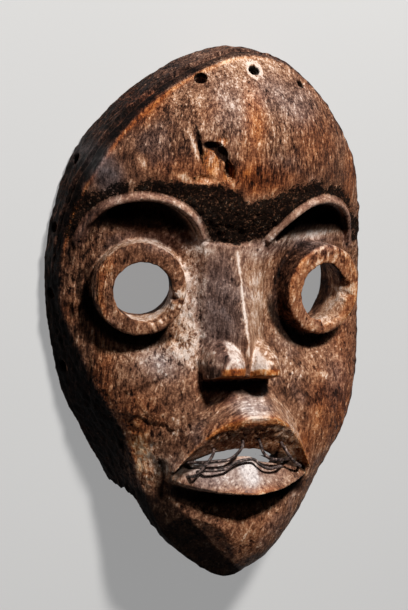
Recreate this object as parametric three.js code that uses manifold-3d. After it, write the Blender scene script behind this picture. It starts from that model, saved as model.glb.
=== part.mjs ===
// A carved wooden face mask with tube eyes, hollow behind, and bent wires across its mouth.
// Millimetres. +Z points out of the face, +Y to the forehead, +X to the viewer's right.
// The mask lies on its back rim. The origin is the middle of the bounding box, in the rim's plane.
import * as THREE from 'three';
import { mergeVertices } from 'three/addons/utils/BufferGeometryUtils.js';
import Module from 'manifold-3d';

const wasm = await Module();
wasm.setup();

// Outline, anticlockwise from the right side: back rim (x, y) and front edge (x, y, z).
const outline = [
  { rim: [76.6, 10], edge: [76.4, 9, 16] },
  { rim: [75.5, 30], edge: [74.3, 29, 16.5] },
  { rim: [71, 52], edge: [69.5, 52, 21] },
  { rim: [61, 78.5], edge: [59.3, 78, 26.5] },
  { rim: [45.5, 101], edge: [43.2, 100.5, 27] },
  { rim: [26.5, 115.5], edge: [24.5, 115.7, 25.5] },
  { rim: [6.5, 120.7], edge: [5.5, 119.6, 24] },
  { rim: [-14, 116.7], edge: [-14, 115, 27] },
  { rim: [-35, 105], edge: [-34, 103.8, 28] },
  { rim: [-54, 88.3], edge: [-52.4, 87.2, 28] },
  { rim: [-67.5, 70], edge: [-65, 68.5, 27] },
  { rim: [-74.2, 48], edge: [-72.3, 48, 21] },
  { rim: [-77.3, 22], edge: [-75.4, 22, 16] },
  { rim: [-75.2, 0.5], edge: [-73, 0.5, 16] },
  { rim: [-71, -20], edge: [-65, -18, 20.5] },
  { rim: [-63.8, -43], edge: [-53.5, -40, 26.5] },
  { rim: [-51.5, -63.5], edge: [-42, -57.5, 29] },
  { rim: [-40, -81.5], edge: [-35, -76, 32.5] },
  { rim: [-30, -97], edge: [-27.5, -95, 39] },
  { rim: [-10, -110], edge: [-12.5, -111.5, 44] },
  { rim: [8, -114.5], edge: [5.5, -121.2, 44] },
  { rim: [27, -110.5], edge: [25, -113, 44] },
  { rim: [45, -93], edge: [41.5, -94.5, 41] },
  { rim: [59.5, -73], edge: [55, -72.5, 36] },
  { rim: [71, -53], edge: [67.5, -53, 31.5] },
  { rim: [76, -32], edge: [74.8, -31, 24.5] },
  { rim: [76.6, -11], edge: [76.2, -11, 19.5] },
];

// Middle line of the face from the forehead to the chin: y, height, fullness of the cross-section.
const middleLine = [
  [119.6, 24, 2.2],
  [112, 32.5, 2.2],
  [104, 39.5, 2.2],
  [92, 46.5, 2.2],
  [78, 50.3, 2.2],
  [62, 51.5, 2.3],
  [50, 50, 2.3],
  [40, 44.5, 2.2],
  [33, 42, 2],
  [18, 41, 2],
  [0, 42.5, 2],
  [-16, 45, 2.2],
  [-28, 48.5, 2.4],
  [-42, 52, 2.8],
  [-58, 52.5, 3.4],
  [-72, 52, 4],
  [-82, 53.5, 3.6],
  [-92, 57, 3],
  [-104, 55, 3],
  [-114, 49.5, 3],
  [-120.7, 44, 3],
];
const middleX = [[119.6, 5.5], [60, 0], [30, -1], [0, 0], [-40, 5], [-120.7, 5.5]];

// Shell.
const meridians = 60;
const frontRows = 14;
const hollowRows = 7;
const rimWidth = 9;
const wall = 8.5;
const rowCrowding = 1.5;
const wallBulge = 0.8;
const hub = [0, 4];

// Eyes.
const eyeSides = [{ side: -1, x: -44.8, y: 14.5 }, { side: 1, x: 47.2, y: 14.3 }];
const eyeFront = 40;
const eyeTilt = 15;
const eyeLift = 2;
const eyeOuterRadius = 21;
const eyeDepth = 17;
const eyeHole = { radius: 12.6, inward: 1, down: 0.9, flare: 7, reach: 35 };
const socket = { y: 20, halfWidth: 27, halfHeight: 32, floor: 26.5, slope: 0.28 };
const hollowSpread = 9;

// Brow ridge over each eye: distance from the middle line, y.
const browPath = [[15.5, 38], [20, 44.6], [26, 50.8], [34, 55.3], [43.6, 56.5], [52.8, 54.1],
  [59.8, 49.4], [64.5, 42], [67, 33]];
const browMiddle = -1.7;
const browRadius = 1.9;
const cove = { radius: 6, inset: 6.5, overhang: 3, sides: 8 };

// Nose: y, half width, crest height, side height.
const noseSections = [
  { y: 36, x: -2, half: 16, crest: 45.5, side: 42.5 },
  { y: 24, x: -1.5, half: 17, crest: 49, side: 41.5 },
  { y: 10, x: -0.5, half: 18, crest: 54.5, side: 42 },
  { y: -4, x: -0.5, half: 18.5, crest: 61, side: 43 },
  { y: -17, x: -0.7, half: 19, crest: 68, side: 46 },
  { y: -26, x: -0.7, half: 19.5, crest: 73, side: 47.5 },
];
const noseRoot = 38.5;
const noseRootLean = 8;
const nostril = { spread: 9.5, x: 1.5, y: -19.5, z: 46, radii: [12.5, 14.5, 18.5] };
const noseUnderside = { y: -17.2, z: 68, lean: 18.6 };

// Mouth. Each lip's ridge starts at the middle and falls away to the corners.
const mouth = { x: 7.5, halfWidth: 35, stations: 12, reach: 0.97, embed: 6 };
const upperRidge = { y: -38.3, z: 67, drop: 30.5, dropCurve: 2.3, sink: 16.5, sinkCurve: 1.6, slope: 13 };
const lowerRidge = { y: -73.3, z: 71, rise: 3.5, skew: 1.5, sink: 20, sinkCurve: 1.7, chamfer: 2.8, undercut: 4.5 };
const slot = { x: 5, halfWidth: 24.5, top: -55.6, bottom: -60.3, ends: -64.4, z: 58, flare: 22 };
const slotCorner = { topDrop: 13.2, bottomDrop: 9, depth: 8 };

// Lacing holes through the side wall (y) and through the top of the forehead (x, radius).
const wallHoles = [66, 36, 6, -26];
const wallHole = { z: 7, radius: 2.5 };
const topHoles = [{ x: -20.4, y: 109.4, radius: 2.6 }, { x: 5.2, y: 113.8, radius: 2.5 },
  { x: 30, y: 108, radius: 1.7 }];

// Break in the rim at the lower left: distance along the wall, height.
const breakOutline = [[-16, -4], [-14.5, 10], [-11, 18], [-6, 27], [4, 30], [12, 24], [17, 10], [19, -4]];
const breakPlace = { x: -26, y: -99, turn: -43, reach: 17 };

// Cracks and a pit in the forehead: two ends (x, y), width, depth.
const gouges = [
  { from: [-27.4, 85.6], to: [-23.8, 73.5], width: 1.8, depth: 2.5 },
  { from: [-20.6, 86], to: [-14.5, 75.5], width: 5, depth: 3 },
  { from: [-16.5, 77], to: [-9.5, 67], width: 2.4, depth: 2.5 },
];

// Bent wires across the mouth, each with its ends let into the wood.
const wireRadius = 1.1;
const wireGap = 0.35;
const wires = {
  mouth_wire_left_tie: [[-11.5, -54.5, 53], [-13.3, -58.3, 60.6], [-16.9, -63, 61.2], [-20.1, -66.8, 59.4],
    [-21.6, -69.4, 52.5]],
  mouth_wire_upper_left: [[2.8, -49.5, 56.5], [2.2, -52.4, 61.2], [2.2, -56.6, 59.8], [-1.4, -60.2, 57.6],
    [-9.8, -62, 56.6], [-16.5, -62.6, 55], [-22, -64.5, 50]],
  mouth_wire_lower: [[-14.2, -68.5, 56], [-12.6, -63.4, 61], [-3.3, -60.2, 62], [4.8, -59, 62], [9.6, -60.3, 62],
    [11, -62.2, 63.3], [14, -63, 64], [20.9, -62.8, 62.4], [25, -65.6, 54.5]],
  mouth_wire_upper_right: [[11, -49.5, 57], [11.8, -52.7, 61.2], [13.2, -56.1, 61.4], [15.9, -58.9, 60.4],
    [19.6, -60, 58.6], [24.6, -60.8, 56], [29.5, -62, 51]],
  mouth_wire_right_tie: [[23.6, -53, 54], [25, -56.3, 60.8], [27.9, -60, 61], [33.6, -64.2, 58],
    [36.6, -66.4, 51]],
};

const woodColour = 0x5a3d2b;
const wireColour = 0x8d8683;

const group = new THREE.Group();

function lerpTable(table, key, column) {
  const down = table[0][0] > table[table.length - 1][0];
  for (let i = 1; i < table.length; i += 1) {
    const passed = down ? key >= table[i][0] : key <= table[i][0];
    if (passed || i === table.length - 1) {
      const part = (key - table[i - 1][0]) / (table[i][0] - table[i - 1][0]);
      return THREE.MathUtils.lerp(table[i - 1][column], table[i][column], THREE.MathUtils.clamp(part, 0, 1));
    }
  }
  return table[0][column];
}

// Smooth curves through the outline's points.
const rimCurve = new THREE.CatmullRomCurve3(
  outline.map(({ rim }) => new THREE.Vector3(rim[0], rim[1], 0)), true);
const edgeCurve = new THREE.CatmullRomCurve3(
  outline.map(({ edge }) => new THREE.Vector3(...edge)), true);
const edgePoints = edgeCurve.getPoints(270);

// The front edge on one side at a height y, as a table from the top down: y, x, z.
function sideTable(side) {
  const top = edgePoints.reduce((best, point) => (point.y > best.y ? point : best));
  const low = edgePoints.reduce((best, point) => (point.y < best.y ? point : best));
  const ends = [top, low];
  const between = edgePoints.filter((point) => {
    const line = THREE.MathUtils.lerp(low.x, top.x, (point.y - low.y) / (top.y - low.y));
    return !ends.includes(point) && side * (point.x - line) > 0;
  });
  const rows = [top, ...between, low].map((point) => [point.y, point.x, point.z]);
  return rows.sort((a, b) => b[0] - a[0]);
}
const leftEdge = sideTable(-1);
const rightEdge = sideTable(1);

// Height of the face without its features: a rounded arch from edge to edge on every level.
function plainHeight(x, y) {
  const middle = lerpTable(middleX, y, 1);
  const edge = x < middle ? leftEdge : rightEdge;
  const edgeX = lerpTable(edge, y, 1);
  const edgeZ = lerpTable(edge, y, 2);
  const span = Math.abs(edgeX - middle);
  const across = span < 1 ? 1 : Math.min(1, Math.abs(x - middle) / span);
  const rise = lerpTable(middleLine, y, 1) - edgeZ;
  return edgeZ + rise * (1 - across ** lerpTable(middleLine, y, 2));
}

// Height with the eye sockets sunk into it, each made wider by the spread.
function faceHeight(x, y, spread = 0) {
  let height = plainHeight(x, y);
  for (const eye of eyeSides) {
    const outward = (x - eye.x) * eye.side;
    const reach = Math.hypot(
      outward / (socket.halfWidth + spread), (y - socket.y) / (socket.halfHeight + spread));
    const sunk = Math.exp(-(reach ** 5));
    const floor = socket.floor - socket.slope * outward;
    height += Math.min(0, floor - height) * sunk;
  }
  return height;
}

function solid(geometry) {
  const bare = geometry.clone();
  bare.deleteAttribute('normal');
  bare.deleteAttribute('uv');
  const merged = mergeVertices(bare, 1e-3);
  return new wasm.Manifold(new wasm.Mesh({
    numProp: 3,
    vertProperties: new Float32Array(merged.getAttribute('position').array),
    triVerts: new Uint32Array(merged.index.array),
  }));
}

function geometryOf(body) {
  const mesh = body.getMesh();
  const geometry = new THREE.BufferGeometry();
  geometry.setAttribute('position', new THREE.BufferAttribute(mesh.vertProperties, 3));
  geometry.setIndex(new THREE.BufferAttribute(mesh.triVerts, 1));
  geometry.computeVertexNormals();
  return geometry;
}

// The hollow shell: a sphere's net laid over the front, down the wall, round the rim and up inside.
function shellGeometry() {
  const rows = frontRows + 3 + hollowRows;
  const net = new THREE.SphereGeometry(1, meridians, rows);
  const place = net.getAttribute('position');
  for (let i = 0; i < place.count; i += 1) {
    const row = Math.floor(i / (meridians + 1));
    const turn = ((i % (meridians + 1)) / meridians) % 1;
    const edge = edgeCurve.getPoint(turn);
    const rim = rimCurve.getPoint(turn);
    const outward = new THREE.Vector2(rim.x - hub[0], rim.y - hub[1]).normalize();
    let x;
    let y;
    let z;
    if (row <= frontRows) {
      const part = 1 - (1 - row / frontRows) ** rowCrowding;
      x = THREE.MathUtils.lerp(hub[0], edge.x, part);
      y = THREE.MathUtils.lerp(hub[1], edge.y, part);
      z = row === frontRows ? edge.z : faceHeight(x, y);
    } else if (row === frontRows + 1) {
      x = (edge.x + rim.x) / 2 + wallBulge * outward.x;
      y = (edge.y + rim.y) / 2 + wallBulge * outward.y;
      z = edge.z / 2;
    } else if (row === frontRows + 2) {
      [x, y, z] = [rim.x, rim.y, 0];
    } else {
      const part = 1 - (row - frontRows - 3) / hollowRows;
      x = THREE.MathUtils.lerp(hub[0], rim.x - rimWidth * outward.x, part);
      y = THREE.MathUtils.lerp(hub[1], rim.y - rimWidth * outward.y, part);
      z = (faceHeight(x, y, hollowSpread) - wall) * Math.sqrt(1 - part ** 8);
    }
    place.setXYZ(i, x, y, z);
  }
  return net;
}

// A body through sections that have the same number of points, from the first to the last.
// Seen from the first section, the points run anticlockwise.
function loft(sections) {
  const sides = sections[0].length;
  const steps = sections.length - 1;
  const net = new THREE.CylinderGeometry(1, 1, steps, sides, steps);
  const place = net.getAttribute('position');
  for (let i = 0; i < place.count; i += 1) {
    const section = sections[Math.round(steps / 2 - place.getY(i))];
    const onAxis = Math.hypot(place.getX(i), place.getZ(i)) < 0.5;
    const turn = Math.atan2(place.getX(i), place.getZ(i)) / (2 * Math.PI);
    const point = onAxis
      ? section.reduce((sum, p) => sum.add(p), new THREE.Vector3()).divideScalar(sides)
      : section[(Math.round(turn * sides) + sides) % sides];
    place.setXYZ(i, point.x, point.y, point.z);
  }
  return net;
}

// A round rod along a smooth path.
function rod(points, radius, sides, steps) {
  const path = new THREE.CatmullRomCurve3(points);
  const circle = new THREE.Shape();
  circle.absarc(0, 0, radius, 0, 2 * Math.PI);
  return new THREE.ExtrudeGeometry(circle, { extrudePath: path, steps, curveSegments: sides / 2, bevelEnabled: false });
}

let mask = solid(shellGeometry());

// Brow ridges, with a deep cove cut under each, which tapers to both its ends.
for (const side of [-1, 1]) {
  const last = browPath.length - 1;
  const coveSections = browPath.map(([out, y], i) => {
    const before = browPath[Math.max(0, i - 1)];
    const after = browPath[Math.min(last, i + 1)];
    const along = new THREE.Vector3(side * (after[0] - before[0]), after[1] - before[1], 0).normalize();
    const across = new THREE.Vector3(0, 0, 1).cross(along);
    const taper = Math.sqrt(Math.sin(Math.PI * (i + 0.6) / (last + 1.2)));
    const centre = new THREE.Vector3(browMiddle + side * out, y, 0);
    centre.z = plainHeight(centre.x, centre.y) - cove.overhang - cove.radius * taper;
    centre.addScaledVector(across, -side * cove.inset * taper);
    return Array.from({ length: cove.sides }, (_, k) => {
      const angle = 2 * Math.PI * k / cove.sides;
      return centre.clone()
        .addScaledVector(across, cove.radius * taper * Math.sin(angle))
        .add(new THREE.Vector3(0, 0, cove.radius * taper * Math.cos(angle)));
    });
  });
  mask = mask.subtract(solid(loft(coveSections)));
  const ridge = browPath.map(([out, y]) => {
    const x = browMiddle + side * out;
    return new THREE.Vector3(x, y, plainHeight(x, y) - 0.3);
  });
  mask = mask.add(solid(rod(ridge, browRadius, 6, 14)));
}

// Tube eyes: a turned collar on each socket floor, bored right through.
for (const eye of eyeSides) {
  const collar = new THREE.LatheGeometry([
    new THREE.Vector2(0, -eyeDepth),
    new THREE.Vector2(eyeOuterRadius + 0.6, -eyeDepth),
    new THREE.Vector2(eyeOuterRadius, -1.8),
    new THREE.Vector2(eyeOuterRadius - 1.4, 0),
    new THREE.Vector2(0, 0),
  ], 28);
  const widening = eyeHole.reach * Math.tan(THREE.MathUtils.degToRad(eyeHole.flare));
  const bore = new THREE.CylinderGeometry(
    eyeHole.radius - widening, eyeHole.radius + widening, 2 * eyeHole.reach, 24);
  bore.translate(-eye.side * eyeHole.inward, 0, eyeHole.down);
  for (const shape of [collar, bore]) {
    shape.rotateX(Math.PI / 2 - THREE.MathUtils.degToRad(eyeLift));
    shape.rotateY(THREE.MathUtils.degToRad(eyeTilt * eye.side));
    shape.translate(eye.x, eye.y, eyeFront);
  }
  mask = mask.add(solid(collar)).subtract(solid(bore));
}

// Nose: a roof with a sharp crest, two round nostril wings and a flat underside.
const nose = loft(noseSections.map(({ y, x, half, crest, side }) => [
  new THREE.Vector3(x, y, crest),
  new THREE.Vector3(x + half, y, side),
  new THREE.Vector3(x + half + 1, y, noseRoot),
  new THREE.Vector3(x - half - 1, y, noseRoot),
  new THREE.Vector3(x - half, y, side),
]));
let noseBody = solid(nose);
for (const side of [-1, 1]) {
  const wing = new THREE.SphereGeometry(1, 14, 10);
  wing.scale(...nostril.radii);
  wing.translate(nostril.x + side * nostril.spread, nostril.y, nostril.z);
  noseBody = noseBody.add(solid(wing));
}
const below = new THREE.BoxGeometry(80, 60, 90);
below.translate(0, -30, 0);
below.rotateX(THREE.MathUtils.degToRad(-noseUnderside.lean));
below.translate(0, noseUnderside.y, noseUnderside.z);
const behind = new THREE.BoxGeometry(80, 80, 40);
behind.translate(0, 0, -20);
behind.rotateX(THREE.MathUtils.degToRad(-noseRootLean));
behind.translate(0, 0, noseRoot);
mask = mask.add(noseBody.subtract(solid(below)).subtract(solid(behind)));

// Lips: an upper beak that overhangs the slot and a lower one that juts out like a shelf.
const lipStations = Array.from({ length: mouth.stations + 1 }, (_, i) => {
  const part = (2 * i / mouth.stations - 1) * mouth.reach;
  return { part, away: Math.abs(part), x: mouth.x + mouth.halfWidth * part };
});
const upperLip = lipStations.map(({ away, x }) => {
  const ridgeY = upperRidge.y - upperRidge.drop * away ** upperRidge.dropCurve;
  const ridgeZ = upperRidge.z - upperRidge.sink * away ** upperRidge.sinkCurve;
  const rootY = ridgeY + upperRidge.slope * (1 - away ** 2) + 1;
  const rootZ = faceHeight(x, rootY) - 0.8;
  const slotY = slot.top - slotCorner.topDrop * away ** 2;
  const slotZ = slot.z - slotCorner.depth * away ** 2;
  return [
    new THREE.Vector3(x, rootY, rootZ),
    new THREE.Vector3(x, rootY, rootZ - mouth.embed),
    new THREE.Vector3(x, slotY + 0.4, slotZ - mouth.embed),
    new THREE.Vector3(x, slotY, slotZ),
    new THREE.Vector3(x, ridgeY, ridgeZ),
  ];
});
const lowerLip = lipStations.map(({ part, away, x }) => {
  const ridgeY = lowerRidge.y + lowerRidge.rise * away ** 2 + lowerRidge.skew * part;
  const ridgeZ = lowerRidge.z - lowerRidge.sink * away ** lowerRidge.sinkCurve;
  const rootY = ridgeY - lowerRidge.undercut;
  const rootZ = faceHeight(x, rootY) - 1;
  const slotY = slot.bottom - slotCorner.bottomDrop * away ** 2;
  const slotZ = slot.z - slotCorner.depth * away ** 2;
  return [
    new THREE.Vector3(x, slotY, slotZ),
    new THREE.Vector3(x, slotY - 0.4, slotZ - mouth.embed),
    new THREE.Vector3(x, rootY - 1.5, rootZ - mouth.embed),
    new THREE.Vector3(x, rootY, rootZ),
    new THREE.Vector3(x, ridgeY - 1.2, ridgeZ - lowerRidge.chamfer),
    new THREE.Vector3(x, ridgeY, ridgeZ),
  ];
});
mask = mask.add(solid(loft(upperLip))).add(solid(loft(lowerLip)));

// The slot between the lips, flared downwards to the hollow.
const lens = new THREE.Shape();
lens.moveTo(slot.x - slot.halfWidth, slot.ends);
lens.quadraticCurveTo(slot.x, 2 * slot.bottom - slot.ends, slot.x + slot.halfWidth, slot.ends);
lens.quadraticCurveTo(slot.x, 2 * slot.top - slot.ends, slot.x - slot.halfWidth, slot.ends);
for (const flare of [0, slot.flare]) {
  const cut = new THREE.ExtrudeGeometry(lens, { depth: 40, steps: 1, curveSegments: 7, bevelEnabled: false });
  cut.translate(0, -slot.bottom, -28);
  cut.rotateX(THREE.MathUtils.degToRad(flare));
  cut.translate(0, slot.bottom, slot.z);
  mask = mask.subtract(solid(cut));
}

// Lacing holes, square to the wall or to the forehead.
function drill(place, direction, radius, length) {
  const hole = new THREE.CylinderGeometry(radius, radius, length, 8);
  const turn = new THREE.Quaternion().setFromUnitVectors(new THREE.Vector3(0, 1, 0), direction.normalize());
  hole.applyQuaternion(turn);
  hole.translate(place.x, place.y, place.z);
  mask = mask.subtract(solid(hole));
}
for (const y of wallHoles) {
  for (const edge of [leftEdge, rightEdge]) {
    const x = lerpTable(edge, y, 1);
    const outward = new THREE.Vector3(x - hub[0], y - hub[1], 0);
    drill(new THREE.Vector3(x, y, wallHole.z), outward, wallHole.radius, 36);
  }
}
for (const { x, y, radius } of topHoles) {
  const step = 2;
  const tilt = new THREE.Vector3(
    (faceHeight(x - step, y) - faceHeight(x + step, y)) / (2 * step),
    (faceHeight(x, y - step) - faceHeight(x, y + step)) / (2 * step), 1);
  drill(new THREE.Vector3(x, y, faceHeight(x, y)), tilt, radius, 50);
}

// Broken rim.
const breakShape = new THREE.Shape(breakOutline.map(([along, z]) => new THREE.Vector2(along, z)));
const breakCut = new THREE.ExtrudeGeometry(breakShape, { depth: 2 * breakPlace.reach, bevelEnabled: false });
breakCut.translate(0, 0, -breakPlace.reach);
breakCut.rotateX(Math.PI / 2);
breakCut.rotateZ(THREE.MathUtils.degToRad(breakPlace.turn));
breakCut.translate(breakPlace.x, breakPlace.y, 0);
mask = mask.subtract(solid(breakCut));

// Gouges in the forehead.
for (const { from, to, width, depth } of gouges) {
  const middle = new THREE.Vector2((from[0] + to[0]) / 2, (from[1] + to[1]) / 2);
  const length = Math.hypot(to[0] - from[0], to[1] - from[1]);
  const pit = new THREE.SphereGeometry(1, 8, 6);
  pit.scale(length / 2, width / 2, depth);
  pit.rotateZ(Math.atan2(to[1] - from[1], to[0] - from[0]));
  pit.translate(middle.x, middle.y, faceHeight(middle.x, middle.y) + 0.3);
  mask = mask.subtract(solid(pit));
}

// Wires, each in holes a little wider than itself.
const metal = new THREE.MeshStandardMaterial({ color: wireColour, roughness: 0.5, metalness: 0.6 });
for (const [name, points] of Object.entries(wires)) {
  const path = points.map((point) => new THREE.Vector3(...point));
  const steps = 2 * points.length;
  mask = mask.subtract(solid(rod(path, wireRadius + wireGap, 6, steps)));
  const wire = new THREE.Mesh(rod(path, wireRadius, 6, steps), metal);
  wire.name = name;
  group.add(wire);
}

const wood = new THREE.MeshStandardMaterial({ color: woodColour, roughness: 0.7, metalness: 0 });
const carving = new THREE.Mesh(geometryOf(mask), wood);
carving.name = 'mask';
group.add(carving);

export default group;
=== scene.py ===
# A carved wooden face mask with tube eyes and wired lips, lying face up on its back rim.
# Sizes are in millimetres until a mesh is finished, and in metres from then on.
import itertools
import math

import bmesh
import bpy
import numpy as np
from mathutils import Matrix, Vector


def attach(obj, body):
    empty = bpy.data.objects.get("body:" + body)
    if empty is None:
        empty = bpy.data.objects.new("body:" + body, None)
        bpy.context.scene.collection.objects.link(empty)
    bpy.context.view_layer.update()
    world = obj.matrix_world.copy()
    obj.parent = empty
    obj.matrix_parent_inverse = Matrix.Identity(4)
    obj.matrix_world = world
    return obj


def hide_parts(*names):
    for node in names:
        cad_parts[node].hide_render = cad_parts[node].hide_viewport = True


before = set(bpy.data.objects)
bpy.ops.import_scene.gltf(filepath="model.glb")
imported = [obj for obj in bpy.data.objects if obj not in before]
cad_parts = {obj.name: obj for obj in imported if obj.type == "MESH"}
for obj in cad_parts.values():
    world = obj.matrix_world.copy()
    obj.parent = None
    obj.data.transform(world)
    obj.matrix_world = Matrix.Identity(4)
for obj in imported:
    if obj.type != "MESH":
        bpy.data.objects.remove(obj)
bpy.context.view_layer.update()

MM = 0.001

# Outline, anticlockwise from the right side: back rim as x, y and front edge as x, y, z.
RIM = [(76.6, 10), (75.5, 30), (71, 52), (61, 78.5), (45.5, 101), (26.5, 115.5), (6.5, 120.7), (-14, 116.7),
       (-35, 105), (-54, 88.3), (-67.5, 70), (-74.2, 48), (-77.3, 22), (-75.2, 0.5), (-71, -20),
       (-63.8, -43), (-51.5, -63.5), (-40, -81.5), (-30, -97), (-10, -110), (8, -114.5), (27, -110.5),
       (45, -93), (59.5, -73), (71, -53), (76, -32), (76.6, -11)]
EDGE = [(76.4, 9, 16), (74.3, 29, 16.5), (69.5, 52, 21), (59.3, 78, 26.5), (43.2, 100.5, 27),
        (24.5, 115.7, 25.5), (5.5, 119.6, 24), (-14, 115, 27), (-34, 103.8, 28), (-52.4, 87.2, 28),
        (-65, 68.5, 27), (-72.3, 48, 21), (-75.4, 22, 16), (-73, 0.5, 16), (-65, -18, 20.5),
        (-53.5, -40, 26.5), (-42, -57.5, 29), (-35, -76, 32.5), (-27.5, -95, 39), (-12.5, -111.5, 44),
        (5.5, -121.2, 44), (25, -113, 44), (41.5, -94.5, 41), (55, -72.5, 36), (67.5, -53, 31.5),
        (74.8, -31, 24.5), (76.2, -11, 19.5)]

# Middle line of the face from the chin up: y, height, fullness of the cross-section.
MIDDLE = [(-120.7, 44, 3), (-114, 49.5, 3), (-104, 55, 3), (-92, 57, 3), (-82, 53.5, 3.6), (-72, 52, 4),
          (-58, 52.5, 3.4), (-42, 52, 2.8), (-28, 48.5, 2.4), (-16, 45, 2.2), (0, 42.5, 2), (18, 41, 2),
          (33, 42, 2), (40, 44.5, 2.2), (50, 50, 2.3), (62, 51.5, 2.3), (78, 50.3, 2.2), (92, 46.5, 2.2),
          (104, 39.5, 2.2), (112, 32.5, 2.2), (119.6, 24, 2.2)]
MIDDLE_X = [(-120.7, 5.5), (-40, 5), (0, 0), (30, -1), (60, 0), (119.6, 5.5)]

# The middle towards which outline, wall and hollow are drawn, and sizes of the wall and the hollow.
HUB = (0, 4)
RIM_WIDTH = 9
WALL = 8.5
WALL_BULGE = 0.8
HOLLOW_SPREAD = 9
LOWEST = 0.02
# An oval about as large as the rim, to tell the wall from the middle.
RIM_OVAL = {"y": 2, "half_width": 74, "half_height": 116}

# Fineness of the carving.
VOXEL = 0.6
MOST_TRIANGLES = 190000

# Eyes, with the broken parts of each hole's edge: first and last angle, width, depth.
EYES = [{"side": -1, "x": -44.8, "y": 14.5, "radius": 13.2, "flare": 2, "chips": [(-80, 4, 4.2, 6)]},
        {"side": 1, "x": 47.2, "y": 14.3, "radius": 12.9, "flare": 12,
         "chips": [(55, 130, 1.8, 2.5), (-88, 28, 5.2, 9)]}]
# The tube's profile: distance from its axis, height.
COLLAR = [(0.01, -17), (21.4, -17), (21.2, -6), (21, -1.5), (20.5, -0.4), (19.6, 0), (13, 0), (0.01, 0)]
EYE_FRONT = 40
EYE_TILT = 15
EYE_LIFT = 2
EYE_HOLE = {"inward": 1, "down": 0.9, "reach": 35}
SOCKET = {"y": 20, "half_width": 27, "half_height": 32, "low_half_height": 36, "floor": 26, "slope": 0.28}

# Brow ridge over each eye: distance from the middle line, y.
BROW = [(15.5, 38), (20, 44.6), (26, 50.8), (34, 55.3), (43.6, 56.5), (52.8, 54.1), (59.8, 49.4),
        (64.5, 42), (67, 33)]
BROW_MIDDLE = -1.7
BROW_RADIUS = 1.5
BROW_SHARE = {-1: (0.45, 0.7, 1, 0.9, 0.5), 1: (1.15, 1.1, 1, 0.95, 0.8)}
COVE = {"radius": 6, "inset": 6.5, "overhang": 3, "fade": {-1: 0.62, 1: 0.3}}

# Nose from the tip up: y, x, half width, crest height, side height.
NOSE = [(-26, 2, 14.5, 61.5, 45), (-17, 2, 14.5, 61.5, 44.5), (-10, 1.3, 15, 61, 43.5),
        (-4, 0.7, 15.2, 60, 42.5), (10, -0.3, 15.2, 54.5, 41.5), (24, -1.2, 15, 49, 41.5),
        (36, -2, 15, 45.5, 42.5)]
NOSE_ROOT = 38.5
NOSE_ROOT_LEAN = 8
NOSTRIL = {"spread": 8.8, "x": 2, "y": -18.5, "z": 46, "radii": (9, 12, 22)}
UNDERSIDE = {"y": -18.8, "z": 68, "lean": 18.6}

# Lips and the slot between them. Sizes that fade to the mouth's corners go with the share of the way there.
MOUTH = {"x": 7.5, "half_width": 35, "reach": 0.97, "embed": 6}
FACET = {"left": 0.22, "right": 0.14}
UPPER = {"y": -38.3, "z": 67, "drop": 30.5, "drop_curve": 2.3, "sink": 14, "sink_curve": 1.6, "slope": 13,
         "bevel": 4, "bevel_x": 5, "bevel_half": 17}
LOWER = {"y": -73.3, "z": 71, "rise": 3.5, "skew": 1.5, "sink": 20, "sink_curve": 1.7, "chamfer": 2.8,
         "undercut": 4.5}
SLOT = {"x": 5, "half_width": 24.5, "top": -57, "bottom": -61.4, "ends": -65, "z": 58, "top_z": 53.5}
# Each pass of the slot's cutter: lean towards the hollow in degrees, height where it has its full size,
# lift of its lower side.
SLOT_PASSES = [(-14, 58, 0), (0, 58, 0), (18, 53.5, 1.5), (34, 53.5, 2.6)]
HUMP = {"x": 4.5, "half_width": 6.5, "rise": 2.7}
CORNER = {"top_drop": 13.2, "bottom_drop": 9, "depth": 8}

# A flat cut at the chin's left: a spot on it, the way it faces and its width.
CHIN_BEVEL = ((-15.9, -90.2, 51.8), (-0.441, -0.506, 0.741), 70)
# The line where its painted shade starts: a spot on the line and the way to its unshaded side.
CHIN_LINE = {"x": -15.6, "y": -89.7, "across": 0.68, "up": 0.73}

# Lacing holes: y of those in each side wall, and x, y, radius of those along the top.
WALL_HOLES = (66, 36, 6, -26)
WALL_HOLE = {"z": 7, "radius": 2.5}
TOP_HOLES = [(-20.4, 109.4, 2.9), (5.2, 113.8, 2.6), (29.2, 108, 2)]

# The piece broken out of the rim: distance along the wall, height.
BREAK = [(-16.5, -4), (-15.5, 12), (-13.5, 22), (-7, 28), (4, 30), (12, 24), (17, 10), (19, -4)]
BREAK_PLACE = {"x": -26, "y": -99, "turn": -43, "reach": 17}

# Upper limit of the black crust over the brow: x, y.
SOOT_TOP = [(-80, -69, -60, -49, -37, -24.5, -13, -1, 11.5, 24.5, 47, 58, 66, 80),
            (52, 60, 65, 69, 72, 73, 69, 63, 66, 69, 70, 63, 52, 42)]
# Its lower limit between the brow ridges: x, y.
SOOT_MIDDLE = [(-1, 9), (35.5, 39)]
# The y from which the black under each brow ridge, soot and painted shadow, starts and is full.
SOOT_AND_SHADOW_LOW = {-1: (37.5, 42), 1: (36.5, 40.5)}

# Cracks and deep gouges in the forehead: two ends, width, depth.
GOUGES = [((-26.2, 91), (-23.2, 72.5), 1.9, 4), ((-23.6, 81.8), (-14.6, 80.6), 4, 4.5),
          ((-17, 82), (-12.5, 75), 4.6, 5), ((-13.6, 78), (-9.6, 66.5), 2.6, 4.5)]
# Flakes lost from the dark skin: middle, half width and half height.
FLAKED = [((-19.2, 75), (4.5, 6.5)), ((-15, 83.5), (2.6, 2)), ((-11.6, 69.5), (2.6, 4)),
          ((-22.5, 66.5), (4.5, 1.8))]

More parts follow.
